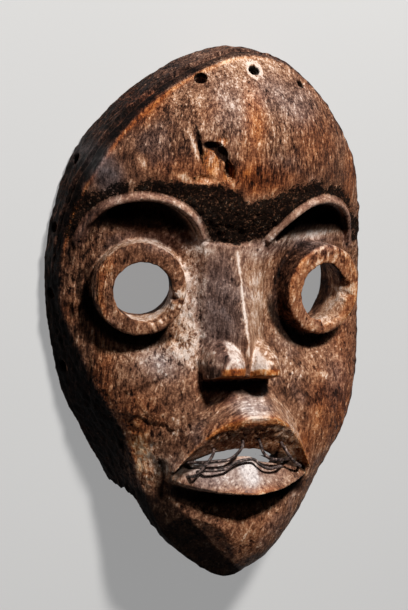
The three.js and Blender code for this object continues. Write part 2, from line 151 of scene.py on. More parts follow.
# Soft ovals seen from the front: x, y, half width, half height, turn in degrees, strength.
# They say where the wood is crusty, polished, lighter or darker, chipped, orange, grey, grained and so on.
CRUSTY = [(-70, 24, 7, 26, 0, 0.4), (-64, 0, 6, 14, 0, 0.3), (70, 34, 4, 24, 0, 0.7),
          (-30, -48, 12, 8, 0, 0.4), (-35, -72, 5, 14, 10, 0.8), (3, -47, 26, 5, 0, 0.7)]
POLISHED = [(-10, 10, 9, 26, 0, 0.5), (8, 12, 7, 26, 0, 0.4), (4, -35, 9, 6, 0, 1),
            (-12, -39, 10, 6, 25, 0.8), (24, -43, 14, 6, -42, 0.7), (3, -66, 30, 7, 0, 0.6),
            (-62, 66, 5, 9, 0, 1)]
TONES = [(-40, 84, 18, 16, 0, -0.12), (2, 117, 22, 5, 0, 0.2), (22, -6, 14, 30, 0, 0.04),
         (40, -20, 26, 14, 0, 0.06), (34, 90, 16, 16, 0, -0.06), (0, 106, 46, 16, 0, 0.09),
         (-12, 96, 14, 16, 0, 0.06), (0, 68, 48, 7, 0, -0.14), (-19.5, 12, 5.5, 24, 0, 0.34),
         (-20.5, -10, 7, 10, 0, 0.26), (-34, -18, 17, 8, 8, 0.17), (9, 10, 8, 26, 0, 0.27),
         (-10, 8, 8, 24, 0, -0.06), (24, -42, 14, 5, -42, 0.08), (2, -66, 30, 7, 0, 0.24),
         (6, -65, 3.5, 5, 0, 0.28), (44, -48, 16, 14, 0, 0.08), (12, -96, 14, 12, 0, 0.06),
         (-50, -40, 10, 16, 30, -0.1), (-34, -66, 5, 12, 10, 0.1), (-70, 20, 8, 30, 0, -0.12),
         (-16, 34, 8, 2.5, 0, 0.2), (-3, 31, 8, 5, 0, 0.08), (-38, 38, 20, 2.2, 0, 0.02),
         (38, 38.4, 18, 2.6, 0, 0.42), (45, -34, 24, 6, -14, -0.2), (42, -27, 20, 2.5, -14, 0.12),
         (51, -25.8, 1.6, 1.2, 0, 0.4), (-13.2, -14.6, 0.7, 1.8, 20, 0.3),
         (-10.6, -16.4, 0.7, 1.6, 10, 0.3), (-37, -64, 4.5, 13, 10, 0.3), (54, -50, 14, 16, 0, -0.03),
         (-42, -38, 14, 8, 0, 0.06), (-40, 30, 16, 5, 0, -0.08), (-52, 62, 20, 5, 0, -0.12)]
CHIPPED = [(-27.5, 81.6, 6.5, 0.8, -74, 1), (-15, 82.6, 1.2, 2.4, -25, 1), (-31.3, 66.6, 3.6, 1.6, -25, 1),
           (-21.7, 66, 4.4, 1.7, 8, 1), (-11, 68.5, 1.2, 4.5, 20, 1), (-48.2, 71.8, 1.3, 3.8, 20, 0.9),
           (-19.5, 76, 1.6, 2.6, 0, 0.8), (-17, 70.6, 1.4, 2.2, 30, 0.8), (-52, 60, 1, 3.4, 5, 0.5)]
WARM = [(1, 97, 5, 9, 0, 0.8), (0, 78, 6, 14, 0, 0.5), (34, 84, 13, 12, 0, 0.45), (-30, 70, 14, 6, 0, 0.5),
        (2, 67, 18, 6, 0, 0.8), (7, -39.4, 9, 1.8, 0, 1.1), (-8, -43, 8, 1.6, 30, 0.6),
        (38, -58, 4, 10, 20, 0.6), (9, -72.5, 13, 2, 0, 1), (54, -44, 14, 18, 0, 0.55),
        (66, -18, 7, 30, 0, 0.4), (-43, -42, 13, 9, 0, 0.4), (-37, -64, 4, 12, 10, 1.1),
        (-45, 95, 12, 4, 42, 0.9), (60, 68, 6, 16, 0, 0.5), (-55, -28, 4, 14, 0, 0.6),
        (12, -96, 14, 12, 0, 0.3), (-10, -12, 4, 6, 0, 0.2)]
COOL = [(10, 105, 9, 7, 0, 0.5), (26, 99, 10, 8, 0, 0.5), (-10, 98, 8, 11, 0, 0.4),
        (-62, 66, 5, 9, 20, 1.2), (-10, 8, 9, 26, 0, 0.7), (-31, -20, 9, 6, 0, 0.7),
        (0, -66, 24, 6, 0, 0.7), (6, -65, 4, 5, 0, 1), (12, 34, 12, 5, 0, 0.5), (5.5, -35, 8, 5, 0, 0.9),
        (60, -30, 8, 10, 0, 0.3), (-30, 36, 14, 4, 0, 0.5), (40, 36, 16, 4, 0, 0.5)]
GRAINED = [(-67, 14, 11, 44, 0, 1), (0, 92, 60, 34, 0, 1.3), (-45, 14, 21, 21, 0, 0.3),
           (47, 14, 21, 21, 0, 0.2), (-56, -26, 8, 22, 0, 0.9), (62, 40, 10, 40, 0, 0.8),
           (0, 10, 14, 26, 0, 0.7), (-36, -70, 6, 14, 0, 0.9), (50, -50, 14, 20, 0, 0.5)]
CRUMBLED = [(-19.5, 14, 5.5, 22, 0, 1.2), (-21, -10, 8, 10, 0, 1.1), (-34, -18, 16, 8, 0, 0.8),
            (-66, 20, 10, 34, 0, 1), (-52, -36, 10, 16, 20, 0.8), (-36, -62, 7, 14, 10, 1.5),
            (-38, -42, 14, 10, 0, 0.5), (56, -46, 14, 18, 0, 0.6), (24, 36, 6, 4, 0, 0.6),
            (3, -48, 30, 6, 0, 0.8)]
SCRATCHED = {"rub_middle": [(6, -35, 7, 6, 0, 1.3)], "rub_left": [(-9, -39, 10, 6, 25, 1.3)],
             "rub_right": [(24, -43, 15, 6, -42, 1.3)]}
BARK = [(-68, 22, 6, 34, 0, 1.1), (-61, -14, 6, 22, 20, 0.9)]

# Low steps in the surface: two ends, how far they reach down, depth.
LEDGES = [((-50, -36), (-25, -22), 9, 0.7), ((-24, -50), (-44, -44), 8, 0.5),
          ((16, -93), (30, -74), 9, 0.5), ((30, -24), (52, -30), 8, 0.4)]
# A groove beside the mouth, from its top down.
GROOVE = ((-29.5, -67), (-28, -74), (-27, -81))
# A line cut round the upper wall: height as a share of the edge's, width, depth, and the angles in radians
# where it starts, is full, starts to end and ends.
WALL_LINE = {"share": 0.7, "width": 0.035, "depth": 1, "turn": (0.9, 1.3, 2.75, 3.1)}
# The same angles of the worn upper left of the edge, and of the painted shade on the wall below it.
HIGH_LEFT = (1.3, 1.7, 2.7, 3)

# The path of each wire.
WIRE_RADIUS = 0.75
WIRES = {
    "left_tie": [(-7.4, -55.5, 50), (-10, -57, 57), (-13.4, -59.2, 61), (-16.5, -62.5, 61.6),
                 (-19, -66.2, 60.6), (-20.5, -69.4, 53)],
    "upper_left": [(4, -50, 55), (2.2, -53, 61), (-0.6, -57.1, 61.2), (-4.6, -59.6, 60.8),
                   (-9.4, -60.4, 59.6), (-14.5, -61.6, 56.5), (-20, -63.5, 50)],
    "lower": [(-16.4, -66.5, 55), (-13.8, -64.4, 60.5), (-10.4, -63.9, 62), (-5.2, -63, 62.6),
              (-2, -60.8, 62.6), (3.5, -59.3, 62.2), (8, -59.4, 62.2), (10.8, -61.6, 63.2),
              (14.5, -63.2, 64), (20.7, -63, 62.4), (26, -65.4, 54)],
    "upper_right": [(11.8, -50, 56), (11.4, -53.6, 61.4), (13, -56.8, 61.6), (16.5, -59.4, 61.2),
                    (22.1, -60.6, 59.6), (27.7, -61.8, 55), (32, -63.2, 50)],
    "right_tie": [(24, -53, 54), (25.2, -56.9, 60.4), (28.2, -60.8, 60.6), (33, -63.9, 58.4),
                  (36.6, -66.4, 51)],
}

# Camera: azimuth, tilt and roll in degrees, the spot it looks at, its distance in metres, its focal length
# and the picture's height in pixels, the sensor's width in millimetres.
CAMERA = {"turns": (24, 12, 5), "aim": (-9.08, 5.19, 30), "distance": 1.1, "focal": 2409, "sensor": 36,
          "picture_height": 610}


# Curves and tables.
def smooth_table(key, table, which):
    """A column of a table at some keys, on a smooth curve through its rows. Keys are in the first column."""
    rows = np.array(table, float)
    keys, values = rows[:, 0], rows[:, which]
    slopes = np.gradient(values, keys)
    row = np.clip(np.searchsorted(keys, key) - 1, 0, len(keys) - 2)
    step = keys[row + 1] - keys[row]
    part = np.clip((key - keys[row]) / step, 0, 1)
    rest = 1 - part
    return (values[row] * rest ** 2 * (1 + 2 * part) + values[row + 1] * part ** 2 * (1 + 2 * rest)
            + step * part * rest * (slopes[row] * rest - slopes[row + 1] * part))


def curve(points, turns, closed=False):
    """Places on a smooth curve through points, at turns from 0 to 1."""
    points = np.array(points, float)
    if closed:
        padded = np.vstack([points[-1:], points, points[:2]])
        spans = len(points)
    else:
        padded = np.vstack([2 * points[0] - points[1], points, 2 * points[-1] - points[-2]])
        spans = len(points) - 1
    along = np.clip(np.asarray(turns, float), 0, 1) * spans
    first = np.minimum(along.astype(int), spans - 1)
    part = (along - first)[:, None]
    before, start, end, after = (padded[first + k] for k in range(4))
    gaps = [np.linalg.norm(b - a, axis=1)[:, None] ** 0.5
            for a, b in ((before, start), (start, end), (end, after))]
    leave = gaps[1] * ((start - before) / gaps[0] - (end - before) / (gaps[0] + gaps[1])
                       + (end - start) / gaps[1])
    arrive = gaps[1] * ((end - start) / gaps[1] - (after - start) / (gaps[1] + gaps[2])
                        + (after - end) / gaps[2])
    rest = 1 - part
    return (start * rest ** 2 * (1 + 2 * part) + end * part ** 2 * (1 + 2 * rest)
            + part * rest * (leave * rest - arrive * part))


def side_edges():
    """The front edge on the left and on the right, each as rows of y, x, z from the chin up."""
    points = curve(EDGE, np.arange(1080) / 1080, closed=True)
    top, low = points[points[:, 1].argmax()], points[points[:, 1].argmin()]
    line = low[0] + (points[:, 1] - low[1]) / (top[1] - low[1]) * (top[0] - low[0])
    sides = []
    for side in (-1, 1):
        chosen = np.vstack([points[side * (points[:, 0] - line) > 0], top, low])
        chosen = chosen[chosen[:, 1].argsort()]
        sides.append(chosen[:, [1, 0, 2]])
    return sides


LEFT_EDGE, RIGHT_EDGE = side_edges()


def plain_height(x, y):
    """Height of the face without its features: a rounded arch from edge to edge on every level."""
    middle = smooth_table(y, MIDDLE_X, 1)
    left = x < middle
    edge_x, edge_z = (np.where(left, np.interp(y, LEFT_EDGE[:, 0], LEFT_EDGE[:, k]),
                               np.interp(y, RIGHT_EDGE[:, 0], RIGHT_EDGE[:, k])) for k in (1, 2))
    across = np.clip(np.abs(x - middle) / np.maximum(np.abs(edge_x - middle), 1), 0, 1)
    rise = smooth_table(y, MIDDLE, 1) - edge_z
    return edge_z + rise * (1 - across ** smooth_table(y, MIDDLE, 2))


def face_height(x, y, spread=0):
    """Height with the eye sockets sunk into it, each made wider by the spread."""
    height = plain_height(x, y)
    for eye in EYES:
        outward = (x - eye["x"]) * eye["side"]
        up = y - SOCKET["y"]
        half_height = np.where(up > 0, SOCKET["half_height"], SOCKET["low_half_height"]) + spread
        reach = np.hypot(outward / (SOCKET["half_width"] + spread), up / half_height)
        floor = SOCKET["floor"] - SOCKET["slope"] * outward
        height = height + np.minimum(0, floor - height) * np.exp(-(reach ** 5))
    return height


def heights(x, y):
    """Height of the face at single places."""
    return face_height(np.atleast_1d(np.array(x, float)), np.atleast_1d(np.array(y, float)))


def column(x, y, z):
    """Rows of x, y, z."""
    return np.stack(np.broadcast_arrays(*(np.asarray(v, float) for v in (x, y, z))), axis=-1)


def round_axis(turn, radius, z, x=0, y=0):
    """Places round an upright axis, at turns from 0 to 1."""
    angle = 2 * np.pi * turn
    return column(x + radius * np.cos(angle), y + radius * np.sin(angle), z)


def between_rows(row, *columns):
    """Values in columns at a row number that need not be whole."""
    return [np.interp(row, np.arange(len(values)), values) for values in columns]


def unit(ways):
    """Directions made one long."""
    return ways / np.linalg.norm(ways, axis=1)[:, None]


# Meshes.
def finished(bm, name):
    """An object from a bmesh, with its faces turned outwards."""
    bmesh.ops.remove_doubles(bm, verts=bm.verts, dist=1e-4)
    bmesh.ops.dissolve_degenerate(bm, edges=bm.edges, dist=1e-5)
    bmesh.ops.recalc_face_normals(bm, faces=bm.faces)
    mesh = bpy.data.meshes.new(name)
    bm.to_mesh(mesh)
    bm.free()
    made = bpy.data.objects.new(name, mesh)
    bpy.context.scene.collection.objects.link(made)
    return made


def skin(name, across, along, place):
    """A closed body: a grid laid out by place(turn, part). Turns 0 and 1 meet, and both ends are filled."""
    bm = bmesh.new()
    bmesh.ops.create_grid(bm, x_segments=across, y_segments=along, size=0.5)
    flat = np.array([v.co for v in bm.verts])
    laid = place(flat[:, 0] + 0.5, flat[:, 1] + 0.5)
    for vertex, spot in zip(bm.verts, laid):
        vertex.co = spot
    bmesh.ops.remove_doubles(bm, verts=bm.verts, dist=1e-4)
    bmesh.ops.holes_fill(bm, edges=[e for e in bm.edges if e.is_boundary], sides=0)
    return finished(bm, name)


def loft(name, sections, along):
    """A body through sections with the same number of points. Each section keeps its corners."""
    sections = np.array(sections, float)
    corners = sections.shape[1]

    def place(turn, part):
        rows = np.array([curve(sections[:, k % corners], part) for k in range(corners + 1)])
        spot = turn * corners
        first = np.minimum(spot.astype(int), corners - 1)
        share = (spot - first)[:, None]
        pick = np.arange(len(turn))
        return rows[first, pick] * (1 - share) + rows[first + 1, pick] * share

    return skin(name, corners * 6, along, place)


def rod(name, points, radius, around, steps, unevenness=None):
    """A round rod along a smooth path."""
    def place(turn, part):
        centre = curve(points, part)
        ahead, behind = curve(points, part + 0.004), curve(points, part - 0.004)
        way = unit(ahead - behind)
        side = unit(np.cross(way, (0.3, 0.2, 1)))
        up = np.cross(side, way)
        angle = 2 * np.pi * turn[:, None]
        size = radius * (1 if unevenness is None else unevenness(turn, part)[:, None])
        return centre + size * (side * np.cos(angle) + up * np.sin(angle))

    return skin(name, around, steps, place)


def cut(body, *tools):
    """Cuts tools from a body, one after another."""
    for tool in tools:
        combine(body, tool, "DIFFERENCE")


def join(body, *tools):
    for tool in tools:
        combine(body, tool, "UNION")


def combine(body, tool, operation):
    """Joins a tool to a body or cuts it from it, and removes the tool."""
    modifier = body.modifiers.new("cut", "BOOLEAN")
    modifier.operation = operation
    modifier.solver = "MANIFOLD"
    modifier.object = tool
    settle(body)
    bpy.data.objects.remove(tool)


def settle(body):
    """Applies a body's modifiers to its mesh."""
    depsgraph = bpy.context.evaluated_depsgraph_get()
    mesh = bpy.data.meshes.new_from_object(body.evaluated_get(depsgraph))
    body.modifiers.clear()
    old = body.data
    body.data = mesh
    bpy.data.meshes.remove(old)


# The parts of the carving.
def shell():
    """The hollow shell: a net laid over the front, down the wall, round the rim and up inside."""
    front, wall, rim, hollow = 0.56, 0.64, 0.68, 1

    def place(turn, part):
        edge, back = curve(EDGE, turn, closed=True), curve(RIM, turn, closed=True)
        outward = unit(back - HUB)
        inner = back - RIM_WIDTH * outward

        share = 1 - (1 - np.clip(part / front, 0, 1)) ** 1.25
        x, y = (HUB[k] + (edge[:, k] - HUB[k]) * share for k in (0, 1))
        z = np.where(share > 0.9999, edge[:, 2], face_height(x, y))
        laid = column(x, y, z)

        down = np.clip((part - front) / (wall - front), 0, 1)[:, None]
        bulge = WALL_BULGE * 4 * down * (1 - down) * outward
        side = np.hstack([edge[:, :2] * (1 - down) + back * down + bulge, edge[:, 2:] * (1 - down)])
        laid = np.where(part[:, None] > front, side, laid)

        over = np.clip((part - wall) / (rim - wall), 0, 1)[:, None]
        flat = np.hstack([back * (1 - over) + inner * over, 0 * over])
        laid = np.where(part[:, None] > wall, flat, laid)

        depth = 1 - np.clip((part - rim) / (hollow - rim), 0, 1)
        x, y = (HUB[k] + (inner[:, k] - HUB[k]) * depth for k in (0, 1))
        z = (face_height(x, y, HOLLOW_SPREAD) - WALL) * np.sqrt(1 - depth ** 8)
        return np.where(part[:, None] > rim + 1e-6, column(x, y, z), laid)

    return skin("shell", 320, 200, place)


def brow_path(side, count=60):
    """The x and y of a brow ridge from its inner end."""
    path = curve([(out, y, 0) for out, y in BROW], np.linspace(0, 1, count))
    return BROW_MIDDLE + side * path[:, 0], path[:, 1]


def brow_line(x, side):
    """y of the middle of a brow ridge, and far below the mask past its ends."""
    path = brow_path(side, 90)
    order = path[0].argsort()
    return np.interp(x, path[0][order], path[1][order], -99, -99)


def cove(side):
    """The hollow cut under a brow ridge, tapered to both ends."""
    def place(turn, part):
        xs, ys = brow_path(side, 200)
        along = unit(np.stack([np.gradient(xs), np.gradient(ys)], axis=1))
        x, y, across_x, across_y = between_rows(part * 199, xs, ys, -along[:, 1], along[:, 0])
        taper = np.sqrt(np.sin(np.pi * (part * 8 + 0.6) / 9.2))
        taper *= 1 - COVE["fade"][side] * step_up(part, 0.45, 1)
        z = plain_height(x, y) - COVE["overhang"] - COVE["radius"] * taper
        shift = -side * COVE["inset"] * taper
        angle = 2 * np.pi * turn
        swing = shift + COVE["radius"] * taper * np.sin(angle)
        lift = COVE["radius"] * taper * np.cos(angle)
        return column(x + across_x * swing, y + across_y * swing, z + lift)

    return skin("cove", 24, 60, place)


def brow_ridge(side):
    x, y = brow_path(side, 20)

    def thickness(turn, part):
        rough = 1 + 0.22 * noise(round_axis(turn, 2, 60 * part + 70 * side), (3, 3, 4), 39)
        return np.interp(part, (0, 0.15, 0.5, 0.8, 1), BROW_SHARE[side]) * rough

    return rod("ridge", column(x, y, plain_height(x, y) - 0.2), BROW_RADIUS, 12, 80, thickness)


def eye_turn(eye):
    """Where a tube eye is and how it is tipped."""
    return (Matrix.Translation((eye["x"], eye["y"], EYE_FRONT))
            @ Matrix.Rotation(math.radians(EYE_TILT * eye["side"]), 4, "Y")
            @ Matrix.Rotation(math.radians(-EYE_LIFT), 4, "X"))


def hole_middle(eye):
    """Where the hole's axis stands off the tube's own."""
    return -eye["side"] * EYE_HOLE["inward"], -EYE_HOLE["down"]


def placed(body, eye):
    """Turns a body from its own upright axis to an eye's."""
    body.data.transform(eye_turn(eye))
    return body


def seen_from_eye(places, eye):
    """Distance from the hole's axis, angle round it in degrees, and height over the ring's face."""
    turn = np.array(eye_turn(eye).inverted())
    local = places @ turn[:3, :3].T + turn[:3, 3]
    x, y = (local[:, :2] - hole_middle(eye)).T
    return np.hypot(x, y), np.degrees(np.arctan2(y, x)), local[:, 2]


def collar(eye):
    """The tube eye's body, with a slightly rounded face."""
    def place(turn, part):
        radius, z = between_rows(part * (len(COLLAR) - 1), *zip(*COLLAR))
        return round_axis(turn, radius, z)

    return placed(skin("collar", 96, 49, place), eye)


def bore(eye):
    """The hole through a tube eye, wider at the back."""
    widening = EYE_HOLE["reach"] * math.tan(math.radians(eye["flare"]))

    def place(turn, part):
        z = EYE_HOLE["reach"] * (2 * part - 1)
        radius = eye["radius"] - widening * (2 * part - 1)
        return round_axis(turn, radius, z, *hole_middle(eye))

    return placed(skin("bore", 96, 8, place), eye)


def chip(eye, first, last, width, deep):
    """A rough funnel that breaks the hole's front edge back along part of its round."""
    def place(turn, part):
        degrees = 360 * np.where(turn > 0.5, turn - 1, turn)
        share = span(degrees, first - 14, first + 14, last - 14, last + 14)
        spots = round_axis(turn, 14, 3 * part)
        rough = 0.8 + 0.45 * noise(spots, (1.9, 1.9, 9), 91) + 0.25 * noise(spots, 1.1, 92)
        radius = eye["radius"] - 1 + (1 + width * np.maximum(rough, 0.1)) * share * part
        return round_axis(turn, radius, (deep + 1) * part - deep, *hole_middle(eye))

    return placed(skin("chips", 160, 10, place), eye)


def solid(name, build, settings, turn, spot, size=(1, 1, 1), lift=0):
    """A basic body, stretched, lifted along its own axis, turned and moved to its spot."""
    bm = bmesh.new()
    build(bm, **settings)
    bmesh.ops.scale(bm, verts=bm.verts, vec=size)
    bmesh.ops.translate(bm, verts=bm.verts, vec=(0, 0, lift))
    bmesh.ops.rotate(bm, verts=bm.verts, matrix=turn)
    bmesh.ops.translate(bm, verts=bm.verts, vec=spot)
    return finished(bm, name)


def slab(spot, facing, width):
    """A block whose flat underside passes through a spot and faces away from a direction, for cutting."""
    size = (width, width, 60)
    return solid("slab", bmesh.ops.create_cube, {"size": 1}, facing_turn(facing), spot, size, size[2] / 2)


def facing_turn(direction):
    """The turn from straight up to a direction."""
    return Vector((0, 0, 1)).rotation_difference(Vector(direction)).to_matrix()


def ball(name, radii, turn, spot, detail=48):
    settings = {"u_segments": detail, "v_segments": detail // 2, "radius": 1}
    return solid(name, bmesh.ops.create_uvsphere, settings, Matrix.Rotation(turn, 3, "Z"), spot, radii)


def wing_middle(side):
    """The middle of a dome at the nose's tip."""
    return (NOSTRIL["x"] + side * NOSTRIL["spread"], NOSTRIL["y"], NOSTRIL["z"])


def nose():
    """A roof with a sharp crest, two round domes at its tip and a flat underside."""
    deep = NOSE_ROOT - 8
    sections = [[(x, y, crest), (x - half, y, side), (x - half - 4, y, deep), (x + half + 3, y, deep),
                 (x + half, y, side)] for y, x, half, crest, side in NOSE]
    body = loft("nose", sections, 48)
    for side in (-1, 1):
        join(body, ball("wing", NOSTRIL["radii"], 0, wing_middle(side)))
    lean, back = math.radians(UNDERSIDE["lean"]), math.radians(NOSE_ROOT_LEAN)
    below = slab((0, UNDERSIDE["y"], UNDERSIDE["z"]), (0, -math.cos(lean), math.sin(lean)), 120)
    behind = slab((0, 0, NOSE_ROOT), (0, -math.sin(back), -math.cos(back)), 120)
    cut(body, below, behind)
    return body


def lip_lines(x):
    """Share of the way to the mouth's corners, and y of the upper ridge, slot's sides and lower ridge."""
    part = (x - MOUTH["x"]) / MOUTH["half_width"]
    away = np.abs(part)
    upper = UPPER["y"] - UPPER["drop"] * away ** UPPER["drop_curve"]
    top = SLOT["top"] - CORNER["top_drop"] * away ** 2
    bottom = SLOT["bottom"] + hump(x) - CORNER["bottom_drop"] * away ** 2
    lower = LOWER["y"] + LOWER["rise"] * away ** 2 + LOWER["skew"] * part
    return part, upper, top, bottom, lower


def lip_bevel(x):
    """Width of the worn bevel below the upper ridge."""
    return 0.3 + UPPER["bevel"] * bell(x, UPPER["bevel_x"], UPPER["bevel_half"])


def lip_stations():
    """The x of the lips' cross-sections."""
    return MOUTH["x"] + MOUTH["half_width"] * MOUTH["reach"] * np.linspace(-1, 1, 41)


def upper_lip():
    """The beak over the slot, with a flat facet in the middle and one on each side."""
    x = lip_stations()
    part, ridge_y, slot_y, _, _ = lip_lines(x)
    away = np.abs(part)
    flat = np.where(part < 0, FACET["left"], FACET["right"])
    beyond = np.maximum(away - flat, 0) / (1 - flat)
    ridge_z = UPPER["z"] - UPPER["sink"] * (0.7 * beyond + 0.3 * away ** UPPER["sink_curve"])
    root_y = ridge_y + UPPER["slope"] * (1 - away ** 2) + 1
    root_z = face_height(x, root_y) - 0.8
    slot_z = SLOT["top_z"] - CORNER["depth"] * away ** 2
    worn = lip_bevel(x)
    embed = MOUTH["embed"]
    corners = [(x, root_y, root_z), (x, root_y, root_z - embed), (x, slot_y + 0.4, slot_z - embed),
               (x, slot_y, slot_z), (x, ridge_y - worn, ridge_z - 0.3 * worn), (x, ridge_y, ridge_z)]
    return loft("upper_lip", np.stack([column(*c) for c in corners], axis=1), 120)


def lower_lip():
    """The shelf below the slot."""
    x = lip_stations()
    part, _, _, slot_y, ridge_y = lip_lines(x)
    away = np.abs(part)
    ridge_z = LOWER["z"] - LOWER["sink"] * away ** LOWER["sink_curve"]
    root_y = ridge_y - LOWER["undercut"]
    root_z = face_height(x, root_y) - 1
    slot_z = SLOT["z"] - CORNER["depth"] * away ** 2
    embed = MOUTH["embed"]
    corners = [(x, slot_y, slot_z), (x, slot_y - 0.4, slot_z - embed), (x, root_y - 1.5, root_z - embed),
               (x, root_y, root_z), (x, ridge_y - 1.2, ridge_z - LOWER["chamfer"]), (x, ridge_y, ridge_z)]
    return loft("lower_lip", np.stack([column(*c) for c in corners], axis=1), 120)


def hump(x):
    """How far the lower lip stands up into the slot."""
    return HUMP["rise"] * np.exp(-((x - HUMP["x"]) / HUMP["half_width"]) ** 4)


def slot_cut(flare, height, lift):
    """One pass of the slot between the lips, tipped towards the hollow by the flare."""
    def place(turn, part):
        lower = turn < 0.5
        across = np.where(lower, turn * 4 - 1, 3 - turn * 4)
        x = SLOT["x"] + SLOT["half_width"] * across
        z = 12 - 40 * part
        y = np.where(lower, SLOT["bottom"] + lift + hump(x) * step_up(z, -7, -1), SLOT["top"])
        y = SLOT["ends"] + (y - SLOT["ends"]) * (1 - across ** 2)
        drop = CORNER["depth"] * ((x - MOUTH["x"]) / MOUTH["half_width"]) ** 2
        return column(x, y - z * math.tan(math.radians(flare)), height - drop + z)

    return skin("slot", 64, 40, place)


def drill(spot, direction, radius, length):
    settings = {"cap_ends": True, "segments": 24, "radius1": radius, "radius2": radius, "depth": length}
    return solid("drill", bmesh.ops.create_cone, settings, facing_turn(direction), spot)


def lacing_holes():
    """Drills square to the side walls, and to the forehead along its top."""
    holes = []
    for y in WALL_HOLES:
        for edge in (LEFT_EDGE, RIGHT_EDGE):
            x = float(np.interp(y, edge[:, 0], edge[:, 1]))
            holes.append(drill((x, y, WALL_HOLE["z"]), (x - HUB[0], y - HUB[1], 0), WALL_HOLE["radius"], 36))
    step = 2
    for x, y, radius in TOP_HOLES:
        z = heights([x - step, x + step, x, x, x], [y, y, y - step, y + step, y])
        slope = ((z[0] - z[1]) / (2 * step), (z[2] - z[3]) / (2 * step), 1)
        holes.append(drill((x, y, z[4]), slope, radius, 50))
    return holes


def break_cut():
    """The piece of the rim that is broken away, with a rough edge."""
    def place(turn, part):
        along, z = between_rows(turn * len(BREAK), *zip(*BREAK, BREAK[0]))
        through = BREAK_PLACE["reach"] * (2 * part - 1)
        rough = column(along, through, z)
        inside = np.clip((z + 3) / 3, 0, 1)[:, None]
        rough = rough + inside * 1.6 * column(*(noise(rough, (4, 9, 4), 40 + k) for k in range(3)))
        turned = math.radians(BREAK_PLACE["turn"])
        x = BREAK_PLACE["x"] + rough[:, 0] * math.cos(turned) + rough[:, 1] * math.sin(turned)
        y = BREAK_PLACE["y"] + rough[:, 0] * math.sin(turned) - rough[:, 1] * math.cos(turned)
        return column(x, y, rough[:, 2])

    return skin("break", 96, 24, place)


def gouge_ovals():
    """Each gouge's middle, half length, half width, turn and depth."""
    return [([(a + b) / 2 for a, b in zip(start, end)], math.dist(start, end) / 2, width / 2,
             math.atan2(end[1] - start[1], end[0] - start[0]), depth) for start, end, width, depth in GOUGES]


def gouge_cuts():
    """Long balls that leave the cracks and gouges in the forehead."""
    return [ball("gouge", (length, width, depth), turn, (*middle, float(heights(*middle)[0]) + 0.3), 24)
            for middle, length, width, turn, depth in gouge_ovals()]


# Noise. The last number of each call is its seed.
def lattice(cells, seed):
    """One number from 0 to 1 for each whole-number cell."""
    cells = cells.astype(np.int64)
    number = cells[:, 0] * 73856093 ^ cells[:, 1] * 19349663 ^ cells[:, 2] * 83492791 ^ seed * 2654435761
    number = ((number ^ (number >> 13)) * 1274126177) & 0x7fffffff
    number = number ^ (number >> 15)
    return (number & 0xffff) / 65535


def noise(places, size, seed):
    """Smooth noise from -1 to 1 with features of a size, or of one size along each axis."""
    spots = places / np.broadcast_to(np.array(size, float), (3,))
    cell = np.floor(spots)
    part = spots - cell
    part = part * part * (3 - 2 * part)
    total = np.zeros(len(places))
    for corner in itertools.product((0, 1), repeat=3):
        weight = np.prod(np.where(np.array(corner) == 1, part, 1 - part), axis=1)
        total += weight * lattice(cell + corner, seed)
    return 2 * total - 1


def layered(places, size, seed):
    """Noise with two finer and weaker layers on it."""
    size = np.broadcast_to(np.array(size, float), (3,))
    return sum(noise(places, size / 2 ** k, seed + k) / 2 ** k for k in range(3)) / 1.6


def scoops(places, size, seed):
    """Distance to the nearest of scattered middles, in cells: tool marks that meet in ridges."""
    spots = places / np.broadcast_to(np.array(size, float), (3,))
    cell = np.floor(spots)
    nearest = np.full(len(places), 9.0)
    for corner in itertools.product((-1, 0, 1), repeat=3):
        near = cell + corner
        middle = near + 0.5 + 0.8 * (np.stack([lattice(near, seed + k) for k in range(3)], axis=1) - 0.5)
        nearest = np.minimum(nearest, np.linalg.norm(spots - middle, axis=1))
    return nearest


def step_up(value, low, high):
    """0 below low, 1 above high, smooth between."""
    part = np.clip((value - low) / (high - low), 0, 1)
    return part * part * (3 - 2 * part)


def step_down(value, low, high):
    return 1 - step_up(value, low, high)


def span(value, start, full, last, end):
    """1 from full to last, falling smoothly to 0 at start and end."""
    return step_up(value, start, full) * step_down(value, last, end)


def bell(value, middle, width):
    """1 at the middle, falling softly on both sides."""
    return np.exp(-((value - middle) / width) ** 2)


def oval_share(places, middle, radii, edge=0.5):
    """1 inside an oval seen from the front, falling to 0 round it."""
    reach = np.hypot((places[:, 0] - middle[0]) / radii[0], (places[:, 1] - middle[1]) / radii[1])
    return step_down(reach, 1 - edge, 1 + edge)


# Mesh measures, as arrays.
class Cloth:
    """A mesh's vertices and edges as arrays."""

    def __init__(self, mesh):
        self.mesh = mesh
        self.places = np.empty(len(mesh.vertices) * 3, np.float32)
        mesh.vertices.foreach_get("co", self.places)
        self.places = self.places.reshape(-1, 3).astype(float)
        pairs = np.empty(len(mesh.edges) * 2, np.int32)
        mesh.edges.foreach_get("vertices", pairs)
        self.pairs = pairs.reshape(-1, 2)
        self.count = len(self.places)
        self.degree = np.bincount(self.pairs.ravel(), minlength=self.count).clip(1)

    def average(self, values):
        """The mean of each vertex's neighbours."""
        values = np.asarray(values, float)
        if values.ndim == 1:
            return self.average(values[:, None])[:, 0]
        first, second = self.pairs.T
        total = np.stack([np.bincount(first, values[second, k], self.count)
                          + np.bincount(second, values[first, k], self.count)
                          for k in range(values.shape[1])], axis=1)
        return total / self.degree[:, None]

    def smoothed(self, values, rounds, share=0.6):
        for _ in range(rounds):
            values = values + (self.average(values) - values) * share
        return values

    def normals(self):
        found = np.empty(self.count * 3, np.float32)
        self.mesh.vertices.foreach_get("normal", found)
        return found.reshape(-1, 3).astype(float)

    def store(self):
        self.mesh.vertices.foreach_set("co", self.places.astype(np.float32).ravel())
        self.mesh.update()


def bulges(cloth, rounds):
    """How far each vertex stands out of its smoothed surroundings, in millimetres."""
    flat = cloth.smoothed(cloth.places, rounds)
    return np.einsum("ij,ij->i", cloth.places - flat, cloth.normals())


